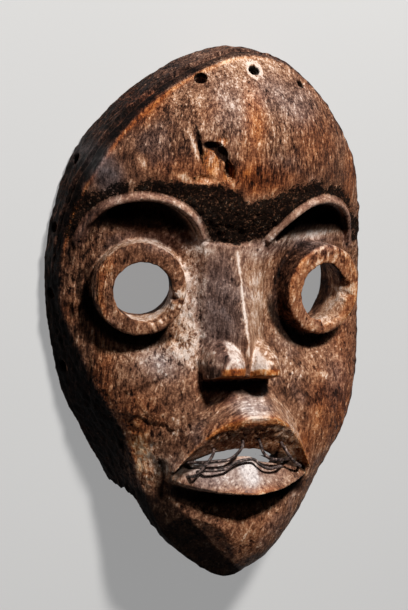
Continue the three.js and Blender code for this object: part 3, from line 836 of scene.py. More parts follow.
# Where things are on the mask.
def distance_to(places, path):
    """Distance of each place to a path seen from the front."""
    nearest = np.full(len(places), 99.0)
    for x, y in zip(*path):
        nearest = np.minimum(nearest, np.hypot(places[:, 0] - x, places[:, 1] - y))
    return nearest


def edge_share(places):
    """How far a place is outside the front edge, its height as a share of the edge's, and its angle."""
    points = curve(EDGE, np.arange(720) / 720, closed=True)
    points[:, :2] -= HUB
    angles = np.arctan2(points[:, 1], points[:, 0])
    order = angles.argsort()
    x, y = (places[:, :2] - HUB).T
    angle = np.arctan2(y, x)
    radius, height = (np.interp(angle, angles[order], values[order], period=2 * np.pi)
                      for values in (np.hypot(points[:, 0], points[:, 1]), points[:, 2]))
    return np.hypot(x, y) - radius, places[:, 2] / height, angle


def hollow_share(places, normals):
    """1 on the hollow's side of the wall and on the rim, 0 on the face and the outer wall."""
    x, y, z = places.T
    reach = np.hypot(x / RIM_OVAL["half_width"], (y - RIM_OVAL["y"]) / RIM_OVAL["half_height"])
    under = step_up(-normals[:, 2], 0, 0.35)
    from_hub = places[:, :2] - HUB
    toward = np.einsum("ij,ij->i", normals[:, :2], -from_hub)
    toward /= np.maximum(np.linalg.norm(from_hub, axis=1), 1)
    top = plain_height(x, y)
    low = step_down(z, top - 7.5, top - 5)
    facing = np.maximum(under, step_up(toward, 0.1, 0.4) * (reach > 0.7))
    return np.clip(facing * np.maximum(low, z < 0.6), 0, 1)


def groove_path():
    """The x and y of the groove beside the mouth."""
    return curve([(*spot, 0) for spot in GROOVE], np.linspace(0, 1, 40))[:, :2].T


def brow_shares(places):
    """1 on the brow ridges, and 1 in the hollows between them and the eyes."""
    on, below = np.zeros(len(places)), np.zeros(len(places))
    for eye in EYES:
        side = eye["side"]
        on = np.maximum(on, step_down(distance_to(places, brow_path(side, 90)), 2.1, 3.3))
        reach, _, _ = seen_from_eye(places, eye)
        under = step_up(brow_line(places[:, 0], side) - places[:, 1], 1.5, 3.5)
        below = np.maximum(below, under * step_up(reach, 22.5, 25) * step_up(places[:, 1], 14, 24))
    return on, below


def soot_crust(places):
    """The black crust over the brow."""
    x, y = places[:, 0], places[:, 1]
    left, right = brow_path(-1), brow_path(1)
    low_x, low_y = (np.concatenate([left[k][::-1], SOOT_MIDDLE[k], right[k]]) for k in (0, 1))
    top = np.interp(x, *SOOT_TOP) + 3 * noise(places, (9, 5, 9), 61) + 1.5 * noise(places, 3, 62)
    low = np.interp(x, low_x, low_y)
    return step_up(top - y, -3, 12) * step_up(y, low - 1, low + 1.5) * step_up(places[:, 2], 12, 20)


def ring_shadow(places, eye):
    """1 on the face just below a tube eye, towards the lower left, where the ring's painted cast shadow
    falls.
    """
    reach, angle, height = seen_from_eye(places, eye)
    lower = step_up(np.cos(np.radians(angle + 112)), 0.3, 0.65)
    return span(height, -24, -19, -3, -1) * lower * span(reach, 21, 22.3, 26, 29)


def past_underside(places):
    """How far a place is past the plane of the nose's underside."""
    lean = math.radians(UNDERSIDE["lean"])
    return (places[:, 2] - UNDERSIDE["z"]) * math.sin(lean) - (places[:, 1] - UNDERSIDE["y"]) * math.cos(lean)


def sunk(places):
    """Painted shade and cast shadows, near black: under the rings, nose, lower lip and brow ridges (there
    with soot), in the slot, cracks, gouges, holes and the groove by the mouth, on the chin's flat cut and on
    the low and upper left of the wall.
    """
    x, y, z = places.T
    found = [0.8 * clefts(places)]
    for eye in EYES:
        below = brow_line(x, eye["side"]) - y
        # Each ring's painted cast shadow, and the soot and painted shadow under its brow ridge.
        found += [ring_shadow(places, eye), step_up(below, 1.2, 2.4) * step_up(y, *SOOT_AND_SHADOW_LOW[eye["side"]])]
    # Painted shadow under the nose's underside.
    under_nose = step_up(past_underside(places), 0.2, 1) * step_up(y, -32, -29.5) * (z > 42)
    found.append(span(x, -15.5, -13.5, 16.5, 18.5) * under_nose)
    part, _, top, bottom, lower = lip_lines(x)
    mouth = step_down(np.abs(part), 0.9, 1.02)
    slot = span(y, bottom - 3, bottom - 1, top + 1, top + 3) * step_down(z, 52, 54.5)
    # Painted cast shadow below the lower lip, and painted shade in the slot.
    found += [mouth * span(lower - y, 1.5, 3, 8, 11) * (z < 62), mouth * slot]
    # Painted shade in the gouges and the top holes.
    for middle, length, width, turn, _ in gouge_ovals():
        oval = (*middle, length, width, math.degrees(turn), 1)
        found.append(step_up(painted(places, [oval]), 0.42, 0.62) * (z > 30))
    for hole_x, hole_y, radius in TOP_HOLES:
        away = np.hypot(x - hole_x, y - hole_y)
        found.append(step_down(away, radius + 0.2, radius + 1) * (z < plain_height(x, y) - 0.7))
    # Painted shade on the chin's flat cut, which faces away from the lamp.
    past_line = (x - CHIN_LINE["x"]) * CHIN_LINE["across"] + (y - CHIN_LINE["y"]) * CHIN_LINE["up"]
    past_line = past_line + 0.8 * noise(places, 4, 67)
    found.append(0.95 * step_down(past_line, -1.5, 0) * step_down(y, -84, -79))
    # Painted shade on the low left and the upper left of the side wall, and in the groove by the mouth.
    beyond, share, angle = edge_share(places)
    low_left = step_down(angle, -2.1, -1.8) + step_up(angle, 2.9, 3.05)
    found.append(0.85 * low_left * step_up(beyond, -1, 1))
    found.append(0.7 * span(angle, *HIGH_LEFT) * step_up(beyond, -0.6, 0.4) * step_up(share, 0.72, 0.78))
    groove = distance_to(places, groove_path()) + 1.2 * noise(places, 3.5, 68)
    found.append(0.85 * step_down(groove, 1.2, 3.6))
    return np.maximum.reduce(found)


def painted(places, table):
    """Soft ovals added up."""
    total = np.zeros(len(places))
    for x, y, width, height, turn, strength in table:
        across, up = places[:, 0] - x, places[:, 1] - y
        angle = math.radians(turn)
        along = (across * math.cos(angle) + up * math.sin(angle)) / width
        over = (up * math.cos(angle) - across * math.sin(angle)) / height
        total += strength * np.exp(-0.7 * (along ** 2 + over ** 2) ** 1.5)
    return total


def covered(places, table):
    """Soft ovals added up, to 1 at most."""
    return np.clip(painted(places, table), 0, 1)


def ledge(places, start, end, reach):
    """1 just below a line, falling to 0 at its ends and further down."""
    way = np.subtract(end, start)
    length = np.linalg.norm(way)
    way = way / length
    x, y = places[:, 0] - start[0], places[:, 1] - start[1]
    along = (x * way[0] + y * way[1]) / length
    down = -(y * way[0] - x * way[1]) * np.sign(way[0]) + 0.6 * noise(places, 4, 66)
    return span(along, -0.1, 0.15, 0.85, 1.1) * span(down, -0.5, 0.5, 1, reach)


def flaked_off(places):
    """Where the dark skin is broken out of the forehead."""
    found = np.zeros(len(places))
    for middle, radii in FLAKED:
        found = np.maximum(found, oval_share(places, middle, radii, 0.3))
    return found * step_up(places[:, 2], 30, 36)


def clefts(places):
    """1 in the long upright clefts near the left edge."""
    lines = step_up(noise(places, (2.3, 13, 2.3), 38), 0.12, 0.45)
    return covered(places, BARK) * lines


# The carved surface.
def carve(body):
    """Tool marks, grain, crust, flaked patches, clefts, grooves and low steps, as moves of the fine mesh."""
    cloth = Cloth(body.data)
    cloth.places = cloth.smoothed(cloth.places, 3, 0.5)
    ridges, below = brow_shares(cloth.places)
    calm = cloth.smoothed(cloth.places, 30)
    cloth.places += (calm - cloth.places) * (below * (1 - ridges))[:, None]
    cloth.store()

    p, n = cloth.places, cloth.normals()
    inside = hollow_share(p, n)
    outside = 1 - inside
    rough = outside * (1 - ridges) * (1 - 0.75 * covered(p, POLISHED)) * (1 - 0.5 * below)
    beyond, share, angle = edge_share(p)
    wall = step_up(beyond, -1.5, 0.5) * outside

    low_scoops = 1 - 0.5 * oval_share(p, (0, 85), (60, 40))
    move = 0.5 * (scoops(p, (15, 19, 15), 3) ** 2 - 0.35) * rough * low_scoops
    move += 0.28 * layered(p, (5, 9, 5), 11) * rough
    move += 0.2 * noise(p, (1.9, 7, 1.9), 21) * rough
    crust = np.clip(np.maximum(soot_crust(p), painted(p, CRUSTY)), 0, 1) * outside * (1 - ridges)
    move += crust * (0.5 * layered(p, (3.4, 2.6, 3.4), 31) + 0.45 * noise(p, 1.8, 35) - 0.2)
    move += wall * (0.4 * noise(p, (8, 2.4, 2.2), 41) + 0.3 * noise(p, (3, 5, 1.8), 42))
    move += inside * (0.45 * noise(p, (5, 14, 5), 51) + 0.35 * scoops(p, (13, 17, 13), 52) ** 2 - 0.3)
    crumbs = covered(p, CRUMBLED) * rough
    move += crumbs * (0.5 * noise(p, (2.6, 3.4, 2.6), 36) + 0.4 * noise(p, (1.5, 2, 1.5), 37) - 0.15)
    move -= flaked_off(p) * (1 + 0.6 * noise(p, (2, 3.5, 2), 71))
    move -= 0.9 * clefts(p) * rough
    offset = (share - WALL_LINE["share"] - 0.05 * noise(p, 14, 43)) / WALL_LINE["width"]
    groove = bell(offset, 0, 1) - 0.6 * bell(offset, -2, 1)
    move -= WALL_LINE["depth"] * groove * wall * span(angle, *WALL_LINE["turn"])
    facing = outside * step_up(n[:, 2], 0.2, 0.5)
    move -= 2.2 * step_down(distance_to(p, groove_path()), 0.5, 4) * facing
    for start, end, reach, depth in LEDGES:
        move -= depth * ledge(p, start, end, reach) * facing
    cloth.places = p + n * move[:, None]
    cloth.places[:, 2] = np.maximum(cloth.places[:, 2], LOWEST)
    cloth.store()


# Shader numbers.
class Number:
    """A shader number. Arithmetic on it adds Math nodes."""

    def __init__(self, finish, socket):
        self.finish = finish
        self.socket = socket

    def math(self, operation, *others):
        inputs = dict(enumerate((self, *others)))
        return self.finish.number("ShaderNodeMath", {"operation": operation}, inputs)

    def reflected(self, operation, other):
        return self.finish.number("ShaderNodeMath", {"operation": operation}, {0: other, 1: self})

    def __add__(self, other):
        return self.math("ADD", other)

    __radd__ = __add__

    def __sub__(self, other):
        return self.math("SUBTRACT", other)

    def __rsub__(self, other):
        return self.reflected("SUBTRACT", other)

    def __mul__(self, other):
        return self.math("MULTIPLY", other)

    def clamped(self):
        return self.math("MAXIMUM", 0).math("MINIMUM", 1)


class Finish:
    """One material and its nodes."""

    def __init__(self, name):
        self.material = bpy.data.materials.new(name)
        self.material.use_nodes = True
        self.tree = self.material.node_tree
        self.tree.nodes.clear()
        self.surface = self.node("ShaderNodeBsdfPrincipled")
        self.node("ShaderNodeOutputMaterial", {}, {"Surface": self.surface.outputs[0]})
        self.place = self.node("ShaderNodeTexCoord").outputs["Object"]

    def node(self, kind, settings=None, inputs=None):
        made = self.tree.nodes.new(kind)
        for name, value in (settings or {}).items():
            setattr(made, name, value)
        self.feed(made, inputs or {})
        return made

    def feed(self, node, inputs):
        """Links a node's inputs, or sets those that are constant."""
        for name, value in inputs.items():
            if isinstance(value, Number):
                value = value.socket
            if isinstance(value, bpy.types.NodeSocket):
                self.tree.links.new(value, node.inputs[name])
            else:
                node.inputs[name].default_value = value

    def number(self, kind, settings=None, inputs=None, output=0):
        return Number(self, self.node(kind, settings, inputs).outputs[output])

    def attribute(self, name):
        return self.number("ShaderNodeAttribute", {"attribute_name": name}, {}, "Fac")

    def stretched(self, along, turn):
        """Object coordinates for a pattern drawn out along a direction, in degrees from the right."""
        inputs = {"Vector": self.place, "Rotation": (0, 0, math.radians(turn)), "Scale": (along, 1, 1)}
        return self.node("ShaderNodeMapping", {"vector_type": "TEXTURE"}, inputs).outputs[0]

    def noise(self, scale, detail, roughness, vector=None):
        return self.number("ShaderNodeTexNoise", {}, {"Vector": vector or self.place, "Scale": scale,
                                                      "Detail": detail, "Roughness": roughness})

    def fibres(self, scale, along, turn, detail, roughness):
        """Streaks that run along a direction."""
        return self.noise(scale, detail, roughness, self.stretched(along, turn))

    def streaks(self, scale, along, turn, low, high):
        """Separate streaks: 1 on them, 0 between."""
        return self.between(self.fibres(scale, along, turn, 2, 0.5), low, high)

    def flecks(self, scale, size):
        """Scattered ragged spots: 1 in their middles."""
        uneven = self.node("ShaderNodeTexNoise", {}, {"Vector": self.place, "Scale": scale * 5}).outputs[1]
        ragged = self.node("ShaderNodeMix", {"data_type": "VECTOR"}, {0: 0.0012, 4: self.place, 5: uneven})
        cells = self.number("ShaderNodeTexVoronoi", {}, {"Vector": ragged.outputs[1], "Scale": scale})
        return self.between(cells, size, size * 0.6)

    def between(self, value, low, high):
        """0 below low, 1 above high, smooth between."""
        return self.number("ShaderNodeMapRange", {"interpolation_type": "SMOOTHSTEP"},
                           {"Value": value, "From Min": low, "From Max": high})

    def blend(self, share, first, second):
        return self.node("ShaderNodeMix", {"data_type": "RGBA", "blend_type": "MIX", "clamp_factor": True},
                         {0: share, 6: first, 7: second}).outputs[2]

    def ramp(self, value, table):
        """The colour at a value, from a table of values and colour codes."""
        made = self.node("ShaderNodeValToRGB", {}, {"Fac": value})
        stops = made.color_ramp.elements
        while len(stops) < len(table):
            stops.new(0.5)
        for stop, (position, code) in zip(stops, table):
            stop.position = position
            stop.color = rgb(code)
        return made.outputs[0]

    def finish(self, colour, roughness, height=None, depth=0, strength=0):
        self.feed(self.surface, {"Base Color": colour, "Roughness": roughness})
        if height is not None:
            inputs = {"Height": height, "Distance": depth, "Strength": strength}
            self.feed(self.surface, {"Normal": self.node("ShaderNodeBump", {}, inputs).outputs[0]})
        return self.material


def rgb(code):
    """A colour from its usual six-figure code, in the renderer's own light values."""
    parts = [int(code[k:k + 2], 16) / 255 for k in (0, 2, 4)]
    return (*(v / 12.92 if v < 0.04045 else ((v + 0.055) / 1.055) ** 2.4 for v in parts), 1)


# Dark to light shades of the brown skin, the orange wood under it and grey wear, the grey also carrying
# painted sheen and the fill lamp's painted tint: value, colour code.
BROWN = ((0, "0d0806"), (0.2, "301c14"), (0.4, "5c3c2c"), (0.55, "835a44"), (0.7, "a98064"),
         (0.85, "cdab94"), (1, "ead5c8"))
ORANGE = ((0, "1a0c06"), (0.2, "46200f"), (0.4, "7a3d1f"), (0.6, "a9602f"), (0.78, "d08b52"), (1, "f0c9a0"))
GREY = ((0, "120f10"), (0.25, "3a3334"), (0.45, "665c5d"), (0.65, "918586"), (0.85, "c4b9b8"),
        (1, "e8e0de"))


def carved_wood():
    """Dark brown wood with streaks, chips and scratches, orange and grey wear, black soot, and painted light
    and shade: near black in recesses and cast shadows, a darker, greyer side wall.
    """
    made = Finish("dark_carved_wood")
    read = made.attribute
    soot, crust, wear, hollow = (read(name) for name in ("soot", "crust", "wear", "hollow"))
    wall, polish, bare = (read(name) for name in ("side_wall", "polish", "bare"))
    mottle = made.noise(140, 4, 0.6)
    streak = made.fibres(560, 6, 90, 4, 0.65)
    fine = made.fibres(1400, 5, 90, 3, 0.7)
    specks = made.noise(1100, 3, 0.75)
    patches = made.between(made.noise(70, 3, 0.5), 0.42, 0.58)
    grains = made.noise(740, 4, 0.7)
    along = made.fibres(720, 2.6, 84, 4, 0.65)
    across = made.fibres(620, 3, 35, 3, 0.6)
    tooled = along * (1 - patches * 0.45) + across * (patches * 0.45)
    strokes = made.streaks(500, 4, 66, 0.61, 0.69)
    cuts = made.streaks(460, 4, 112, 0.39, 0.31)
    threads = made.streaks(820, 5, 90, 0.56, 0.68)
    hairs = made.between((made.fibres(240, 12, 90, 3, 0.55) - 0.5).math("ABSOLUTE"), 0.012, 0.003)
    nicks = made.flecks(240, 0.2)
    pits = made.flecks(200, 0.17)
    rubs = (read("rub_middle") * made.streaks(760, 22, 2, 0.46, 0.56)
            + read("rub_left") * made.streaks(800, 20, 27, 0.5, 0.6)
            + read("rub_right") * made.streaks(760, 20, -48, 0.5, 0.6))
    crumbs = made.fibres(420, 1.8, 90, 4, 0.75)
    crumbled = read("crumbled")
    broken = (made.between(crumbs, 0.55, 0.64) * 0.2 - made.between(crumbs, 0.46, 0.38) * 0.36) * crumbled
    rough_skin = (1 - polish * 0.4).clamped()
    grainy = (crust + soot).clamped()
    grain = (read("grain") * (1 - grainy * 0.7)).clamped()
    texture = ((streak - 0.5) * 1.1 * grain + (fine - 0.5) * 1.1 * grain + (mottle - 0.5) * 0.8
               + (tooled - 0.5) * (1 + patches * 0.8) * (1 - grain * 0.7) + (grains - 0.5) * grainy
               + (strokes * 0.2 - cuts * 0.2) * (1 - grain * 0.6) + (specks - 0.5) * 0.7) * rough_skin
    # On the side wall the value is lowered: painted shade.
    value = (read("tone") - 0.03 + texture + threads * 0.2 * grain * rough_skin + rubs * 0.2
             + broken + nicks * 0.2 * rough_skin * (1 - grain * 0.5)
             - pits * 0.24 * rough_skin * (1 - grain * 0.5) - hairs * 0.2 * grain
             + made.between(wear, 0.3, 0.9) * 0.22 - wall * 0.35 + soot * 0.12)
    colour = made.ramp(value, BROWN)
    orange = made.ramp(value, ORANGE)
    grey = made.ramp(value, GREY)
    broad = made.noise(38, 4, 0.6)
    # The side wall is also less orange and greyer: the cool fill lamp's tint, painted.
    warmth = (read("warm") * (0.3 + mottle) + made.between(broad, 0.54, 0.72) * 0.3
              + made.between(wear, 0.3, 0.8) * 0.25 - wall * 0.4)
    coolness = (read("cool") * (0.2 + mottle) + wall * 0.15
                + made.between(broad, 0.46, 0.32) * 0.25 * (1 - warmth.clamped()))
    colour = made.blend(warmth.clamped(), colour, orange)
    colour = made.blend(coolness.clamped(), colour, grey)
    raw = made.ramp(0.58 + texture * 0.9 + threads * 0.2, ORANGE)
    colour = made.blend(bare * made.between(streak * 0.5 + grains * 0.5, 0.44, 0.52) * 0.8, colour, raw)
    black = made.between((soot * 1.3).clamped() * 0.5 + grains * 0.9 + specks * 0.7, 1.175, 1.225)
    colour = made.blend(black * 0.97, colour, rgb("080504"))
    # Painted shade and cast shadows: near black where they fall.
    dark = read("dark")
    colour = made.blend(dark * 0.93, colour, rgb("060303"))
    inner = made.ramp(0.34 + texture * 0.8, BROWN)
    colour = made.blend(hollow, colour, inner)
    rough = (0.55 + soot * 0.4 + hollow * 0.2 + dark * 0.3 - polish * 0.2 + (mottle - 0.5) * 0.35).clamped()
    made.feed(made.surface, {"Specular IOR Level": 0.05, "Coat Roughness": 0.32,
                             "Coat Weight": polish * 0.3 * (1 - soot)})
    height = (texture * 0.8 + broken * 1.6 + threads * 0.2 * grain + nicks * 0.12 + soot * grains * 1.5
              - pits * 0.35 - hairs * 0.4 * grain - rubs * 0.15)
    return made.finish(colour, rough, height, 0.0011, 0.7)


def worn_iron():
    """Dull dark iron with worn lighter patches."""
    made = Finish("worn_iron_wire")
    mottle = made.noise(700, 4, 0.7)
    colour = made.ramp(mottle, ((0.35, "150f0e"), (0.48, "382c2a"), (0.58, "78635d"), (0.71, "cfb8af")))
    made.feed(made.surface, {"Metallic": 0.35})
    return made.finish(colour, 0.38 + mottle * 0.3, mottle, 0.0006, 0.6)


def pale_floor():
    made = Finish("pale_floor")
    tone = made.noise(3, 2, 0.5)
    colour = made.ramp(tone, ((0.3, "a3a4a5"), (0.7, "a8a9aa")))
    made.feed(made.surface, {"Emission Color": (1, 1, 1, 1), "Emission Strength": 0.3})
    return made.finish(colour, 0.9)


class Paint:
    """How light, orange, grey and sooty the wood is at each vertex, and where light and shade are painted on
    it. Lengths are in millimetres.
    """

    def __init__(self, places, ridges):
        chips = covered(places, CHIPPED)
        inner = step_down(np.abs(places[:, 0]), 56, 64)
        # The brow ridges are lighter, warmer and greyer: worn, and partly a painted highlight.
        self.tone = 0.5 + painted(places, TONES) + 0.16 * ridges * inner + 0.5 * chips
        self.warm = painted(places, WARM) + 0.25 * ridges
        self.cool = painted(places, COOL) + 0.35 * ridges
        self.soot = soot_crust(places) * (1 - ridges) * (1 - 0.9 * chips)
        # Painted shade and cast shadows.
        self.dark = sunk(places)
        self.rough_lip = np.zeros(len(places))

    def edge(self, beyond, around):
        """The light orange line along the upper left edge."""
        line = bell(beyond, -0.9, 0.8) * span(around, *HIGH_LEFT)
        self.tone += 0.16 * line
        self.warm += 1.1 * line

    def ring(self, p, eye):
        """A tube eye's face, flank and throat, the light nicks where its edge is broken, and the painted
        light and shade on its flank and in its throat.
        """
        reach, angle, height = seen_from_eye(p, eye)
        left = eye["side"] < 0
        ring = step_down(reach, 22.3, 23.5) * step_up(height, -17, -14)
        face = ring * step_up(height, -2.2, -0.8)
        flank = ring * (1 - face) * step_up(reach, 17, 19)
        open_part = span(angle, -125, -110, 0, 12)
        if left:
            throat = ring * step_down(reach, 13.4, 14.4) * step_down(height, -2, -0.5)
            # Painted light: the left ring's flank is lighter on its upper side, towards the lamp.
            self.tone += 0.32 * flank * step_up(np.sin(np.radians(angle + 20)), -0.1, 0.4)
        else:
            throat = ring * step_down(reach, 13.4, 14.4 + 4 * open_part) * step_down(height, -1, -0.4)
            # Painted shade: the right ring's flank is darker on its left side, away from the lamp.
            self.tone -= 0.3 * flank * step_up(-np.cos(np.radians(angle)), -0.2, 0.4)
        # The throat is lighter on its broken lower part, partly bare wood and partly painted light, and
        # darker elsewhere as painted shade, near black on its upper inner wall.
        self.tone += throat * (0.4 * open_part - 0.3 * (1 - open_part))
        upper = step_up(np.sin(np.radians(angle)), -0.2, 0.3)
        self.dark = np.maximum(self.dark, 0.8 * throat * (1 - open_part) * upper)
        self.soot *= 1 - ring
        spokes = column(angle / 4, reach / 3, height / 9)
        nicks = step_up(noise(spokes, 1, 90), 0.1, 0.4) - 0.6 * step_up(noise(spokes, 0.9, 89), 0.2, 0.5)
        if left:
            outer = face * step_up(np.abs(angle), 120, 150)
            broken = face * span(angle, -85, -60, 0, 15) * step_down(reach, 18, 20)
            self.tone += broken * (0.1 + 0.4 * nicks) + 0.06 * outer
            self.warm += 0.1 * face + 0.6 * outer * step_up(reach, 16, 19)
        else:
            top = span(angle, 40, 60, 120, 140) * step_up(reach, 13, 15)
            broken = face * (top + 0.7 * span(angle, -20, 0, 10, 30))
            brink = ring * bell(reach, 20.3, 0.6) * step_up(height, -3, -1)
            self.tone += 0.4 * nicks * broken + 0.1 * face + 0.14 * brink
            self.warm += 0.55 * face + 0.4 * brink

    def nose(self, p):
        """The nose's crest, light with a painted highlight, its two domes with painted light and shade, and
        their orange lower edges.
        """
        x, y, z = p.T
        wobble = 0.35 * noise(p, (9, 3.5, 9), 95) + 0.2 * noise(p, 1.6, 96)
        crest_x = np.interp(y, (-12, 34), (1.6, -1.9)) + wobble
        crest = bell(x, crest_x, 0.7 + 0.3 * noise(p, (9, 4, 9), 97))
        # Painted highlight along the polished crest.
        self.tone += 0.6 * crest * span(y, -13, -10, 31, 35) * step_up(z, 44, 46)
        front = step_up(z, 50, 53)
        flecks = (0.4 * step_up(noise(p, (1.3, 2.2, 1.3), 99), 0.35, 0.6)
                  - 0.2 * step_up(noise(p, (1.6, 2.2, 1.6), 94), 0.2, 0.5))
        for side in (-1, 1):
            left = side < 0
            reach = np.linalg.norm((p - wing_middle(side)) / NOSTRIL["radii"], axis=1)
            on = step_down(reach, 1.02, 1.07) * front
            rim = span(reach, 0.98, 1.02, 1.07, 1.12) * front * step_up(y, -14, -10)
            bright = span(x + 0.35 * (y + 14) * side, -11, -9.5, 8, 10)
            above = 0.9 * noise(p, 3, 98) - past_underside(p) + (0 if left else 0.4)
            edge = on * step_down(above, 2.8, 4) * step_up(x, -13, -11)
            # Painted highlight on the domes' inner faces, lighter and greyer; painted shade on the left dome,
            # with a light rim round it.
            self.tone += on * (0.36 * bright + (1 - bright) * (flecks - 0.14 * left)) + 0.26 * rim * left
            self.tone += edge * (0.06 - 0.36 * bright)
            self.warm += 2 * edge
            self.cool += 0.3 * on * bright - edge

    def lip(self, p):
        """The upper lip's facets, worn bevel and rough underside."""
        x, y, z = p.T
        part, ridge_y, top, _, _ = lip_lines(x)
        past = ridge_y - y
        worn = lip_bevel(x) + 0.8 * noise(p, 3.5, 93)
        high = step_down(y, -31, -29) * step_up(z, 50, 54)
        facet = span(x, -1.4, -0.2, 12.2, 13.4) * step_up(y, -39.5, -38.3) * high
        beside = (span(x, -9, -3, -1.4, -0.4) + span(x, 12.4, 13.4, 15, 18)) * step_up(y, -43, -41) * high
        under = step_up(past, worn, worn + 1.2) * step_up(y, top - 3, top - 1) * step_up(z, 40, 44)
        under *= np.abs(part) < 1.02
        edge = bell(past, 0.4, 0.9) * (np.abs(part) < 0.98) * step_up(z, 44, 48)
        bevel = span(past, -0.4, 0.4, worn, worn + 1) * step_up(z, 56, 60) * (worn > 1.2)
        self.tone += 0.15 * facet - 0.1 * beside + 0.2 * under + 0.08 * edge + 0.08 * bevel
        self.warm += 0.5 * under + 0.5 * edge + 1.2 * bevel
        self.rough_lip = under

    def hole_rim(self, p, x, y, radius):
        """The light worn rim of a hole in the forehead."""
        out = np.hypot(p[:, 0] - x, p[:, 1] - y) - radius
        self.tone += 0.4 * span(out, -0.6, 0, 1, 1.8) * (p[:, 2] > 25)


def measure(body):
    """Stores where the wood is light, orange, grey, sooty, worn and so on, and where light and shade are
    painted on it.
    """
    cloth = Cloth(body.data)
    p, n = cloth.places, cloth.normals()
    standing_out = cloth.smoothed(bulges(cloth, 4), 1)
    outside = 1 - hollow_share(p, n)
    beyond, _, around = edge_share(p)
    ridges, _ = brow_shares(p)
    paint = Paint(p, ridges)
    paint.edge(beyond, around)
    for eye in EYES:
        paint.ring(p, eye)
    paint.nose(p)
    paint.lip(p)
    paint.hole_rim(p, *TOP_HOLES[1])
    face_measures = {
        "soot": paint.soot,
        "crust": painted(p, CRUSTY) + paint.rough_lip,
        # dark holds painted shade and cast shadows; side_wall is where the wall is painted darker as shade.
        "dark": paint.dark,
        "wear": step_up(standing_out, 0.05, 0.4),
        "side_wall": step_up(beyond, -1.2, 0.6),
        "bare": flaked_off(p),
        "polish": painted(p, POLISHED) + 0.4 * ridges,
        "crumbled": covered(p, CRUMBLED) * (1 - ridges),
    }
    face_measures.update({name: painted(p, table) for name, table in SCRATCHED.items()})
    masks = {name: np.clip(values, 0, 1) * outside for name, values in face_measures.items()}
    masks.update(tone=paint.tone, warm=paint.warm, cool=paint.cool, hollow=1 - outside,
                 grain=covered(p, GRAINED))
    for name, values in masks.items():
        attribute = body.data.attributes.new(name, "FLOAT", "POINT")
        attribute.data.foreach_set("value", values.astype(np.float32))


def thin_out(body):
    """Thins the mesh, more on the hollow's side than on the face."""
    cloth = Cloth(body.data)
    behind = hollow_share(cloth.places, cloth.normals()) > 0.5
    group = body.vertex_groups.new(name="behind")
    group.add(np.flatnonzero(behind).tolist(), 1, "REPLACE")
    group.add(np.flatnonzero(~behind).tolist(), 0.5, "REPLACE")
    thin = body.modifiers.new("thin", "DECIMATE")
    thin.vertex_group = "behind"
    thin.vertex_group_factor = 0.1
    triangles = sum(len(f.vertices) - 2 for f in body.data.polygons)
    thin.ratio = min(1, MOST_TRIANGLES / triangles)
    settle(body)
    body.vertex_groups.clear()


def surface(piece, material):
    """Turns a finished piece into metres, shades it smooth and gives it its material."""
    piece.data.transform(Matrix.Scale(MM, 4))
    piece.data.polygons.foreach_set("use_smooth", [True] * len(piece.data.polygons))
    piece.data.materials.clear()
    piece.data.materials.append(material)


def mask():
    """The whole carving: joined and cut from its parts, made one fine mesh, carved, thinned and painted."""
    body = shell()
    cut(body, cove(-1), cove(1))
    join(body, brow_ridge(-1), brow_ridge(1))
    for eye in EYES:
        join(body, collar(eye))
        cut(body, bore(eye), *(chip(eye, *row) for row in eye["chips"]))
    join(body, nose(), upper_lip(), lower_lip())
    cut(body, slab(*CHIN_BEVEL), *(slot_cut(*row) for row in SLOT_PASSES))
    cut(body, *lacing_holes(), break_cut(), *gouge_cuts())
    cut(body, *(rod("wire_hole", points, WIRE_RADIUS + 0.3, 12, 60) for points in WIRES.values()))
    remesh = body.modifiers.new("remesh", "REMESH")
    remesh.mode = "VOXEL"
    remesh.voxel_size = VOXEL
    settle(body)
    carve(body)
    thin_out(body)
    measure(body)
    body.name = "carved_mask"
    surface(body, carved_wood())
    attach(body, "root")
    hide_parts("mask")


def wires():
    """Each wire, hammered a little uneven."""
    metal = worn_iron()
    for order, (name, points) in enumerate(WIRES.items()):
        def hammered(turn, part, seed=order):
            return 1 + 0.12 * noise(round_axis(turn, 6, part * 60 + 40 * seed), 5, 81)

        wire = rod("iron_wire_" + name, points, WIRE_RADIUS, 16, 90, hammered)
        surface(wire, metal)
        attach(wire, "root")
        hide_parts("mouth_wire_" + name)


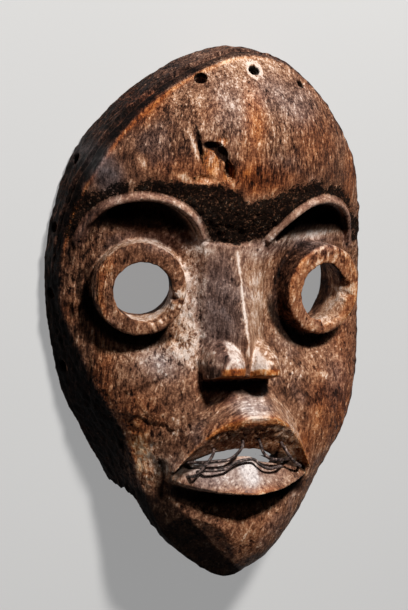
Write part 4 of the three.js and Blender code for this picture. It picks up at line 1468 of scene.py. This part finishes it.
def floor():
    bm = bmesh.new()
    bmesh.ops.create_grid(bm, x_segments=1, y_segments=1, size=3)
    made = finished(bm, "floor")
    made.data.materials.append(pale_floor())


def lamp(name, toward, distance, size, power, colour):
    """A square soft light, aimed at the mask. Distance and size are in metres."""
    light = bpy.data.lights.new(name, "AREA")
    light.size = size
    light.energy = power
    light.color = colour
    made = bpy.data.objects.new(name, light)
    way = Vector(toward).normalized()
    made.location = way * distance + Vector((0, 0, 0.04))
    made.rotation_mode = "QUATERNION"
    made.rotation_quaternion = way.to_track_quat("Z", "Y")
    bpy.context.scene.collection.objects.link(made)


def lights():
    lamp("key", (0.08, 0.75, 0.655), 1.2, 0.13, 20, (1, 0.965, 0.92))
    lamp("fill", (-0.75, 0.62, 0.2), 1.3, 0.5, 0.3, (0.86, 0.93, 1))
    world = bpy.data.worlds.new("room")
    world.use_nodes = True
    world.node_tree.nodes["Background"].inputs[0].default_value = (0.75, 0.78, 0.82, 1)
    world.node_tree.nodes["Background"].inputs[1].default_value = 0.015
    bpy.context.scene.world = world
    bpy.context.scene.view_settings.view_transform = "Standard"


def camera():
    """Looks down on the mask from the side that shows it upright."""
    azimuth, tilt, roll = (math.radians(a) for a in CAMERA["turns"])
    toward = Vector((-math.sin(azimuth) * math.cos(tilt), math.sin(tilt), math.cos(azimuth) * math.cos(tilt)))
    right = Vector((math.cos(azimuth), 0, math.sin(azimuth)))
    up = toward.cross(right)
    across = right * math.cos(roll) + up * math.sin(roll)
    upward = up * math.cos(roll) - right * math.sin(roll)
    made = bpy.data.objects.new("camera", bpy.data.cameras.new("camera"))
    turn = Matrix((across, upward, toward)).transposed()
    aim = Vector(CAMERA["aim"]) * MM
    made.matrix_world = Matrix.Translation(aim + toward * CAMERA["distance"]) @ turn.to_4x4()
    made.data.sensor_width = CAMERA["sensor"]
    made.data.lens = CAMERA["focal"] * CAMERA["sensor"] / CAMERA["picture_height"]
    made.data.clip_start = 0.01
    made.data.clip_end = 20
    bpy.context.scene.collection.objects.link(made)
    bpy.context.scene.camera = made


camera()
lights()
floor()
mask()
wires()
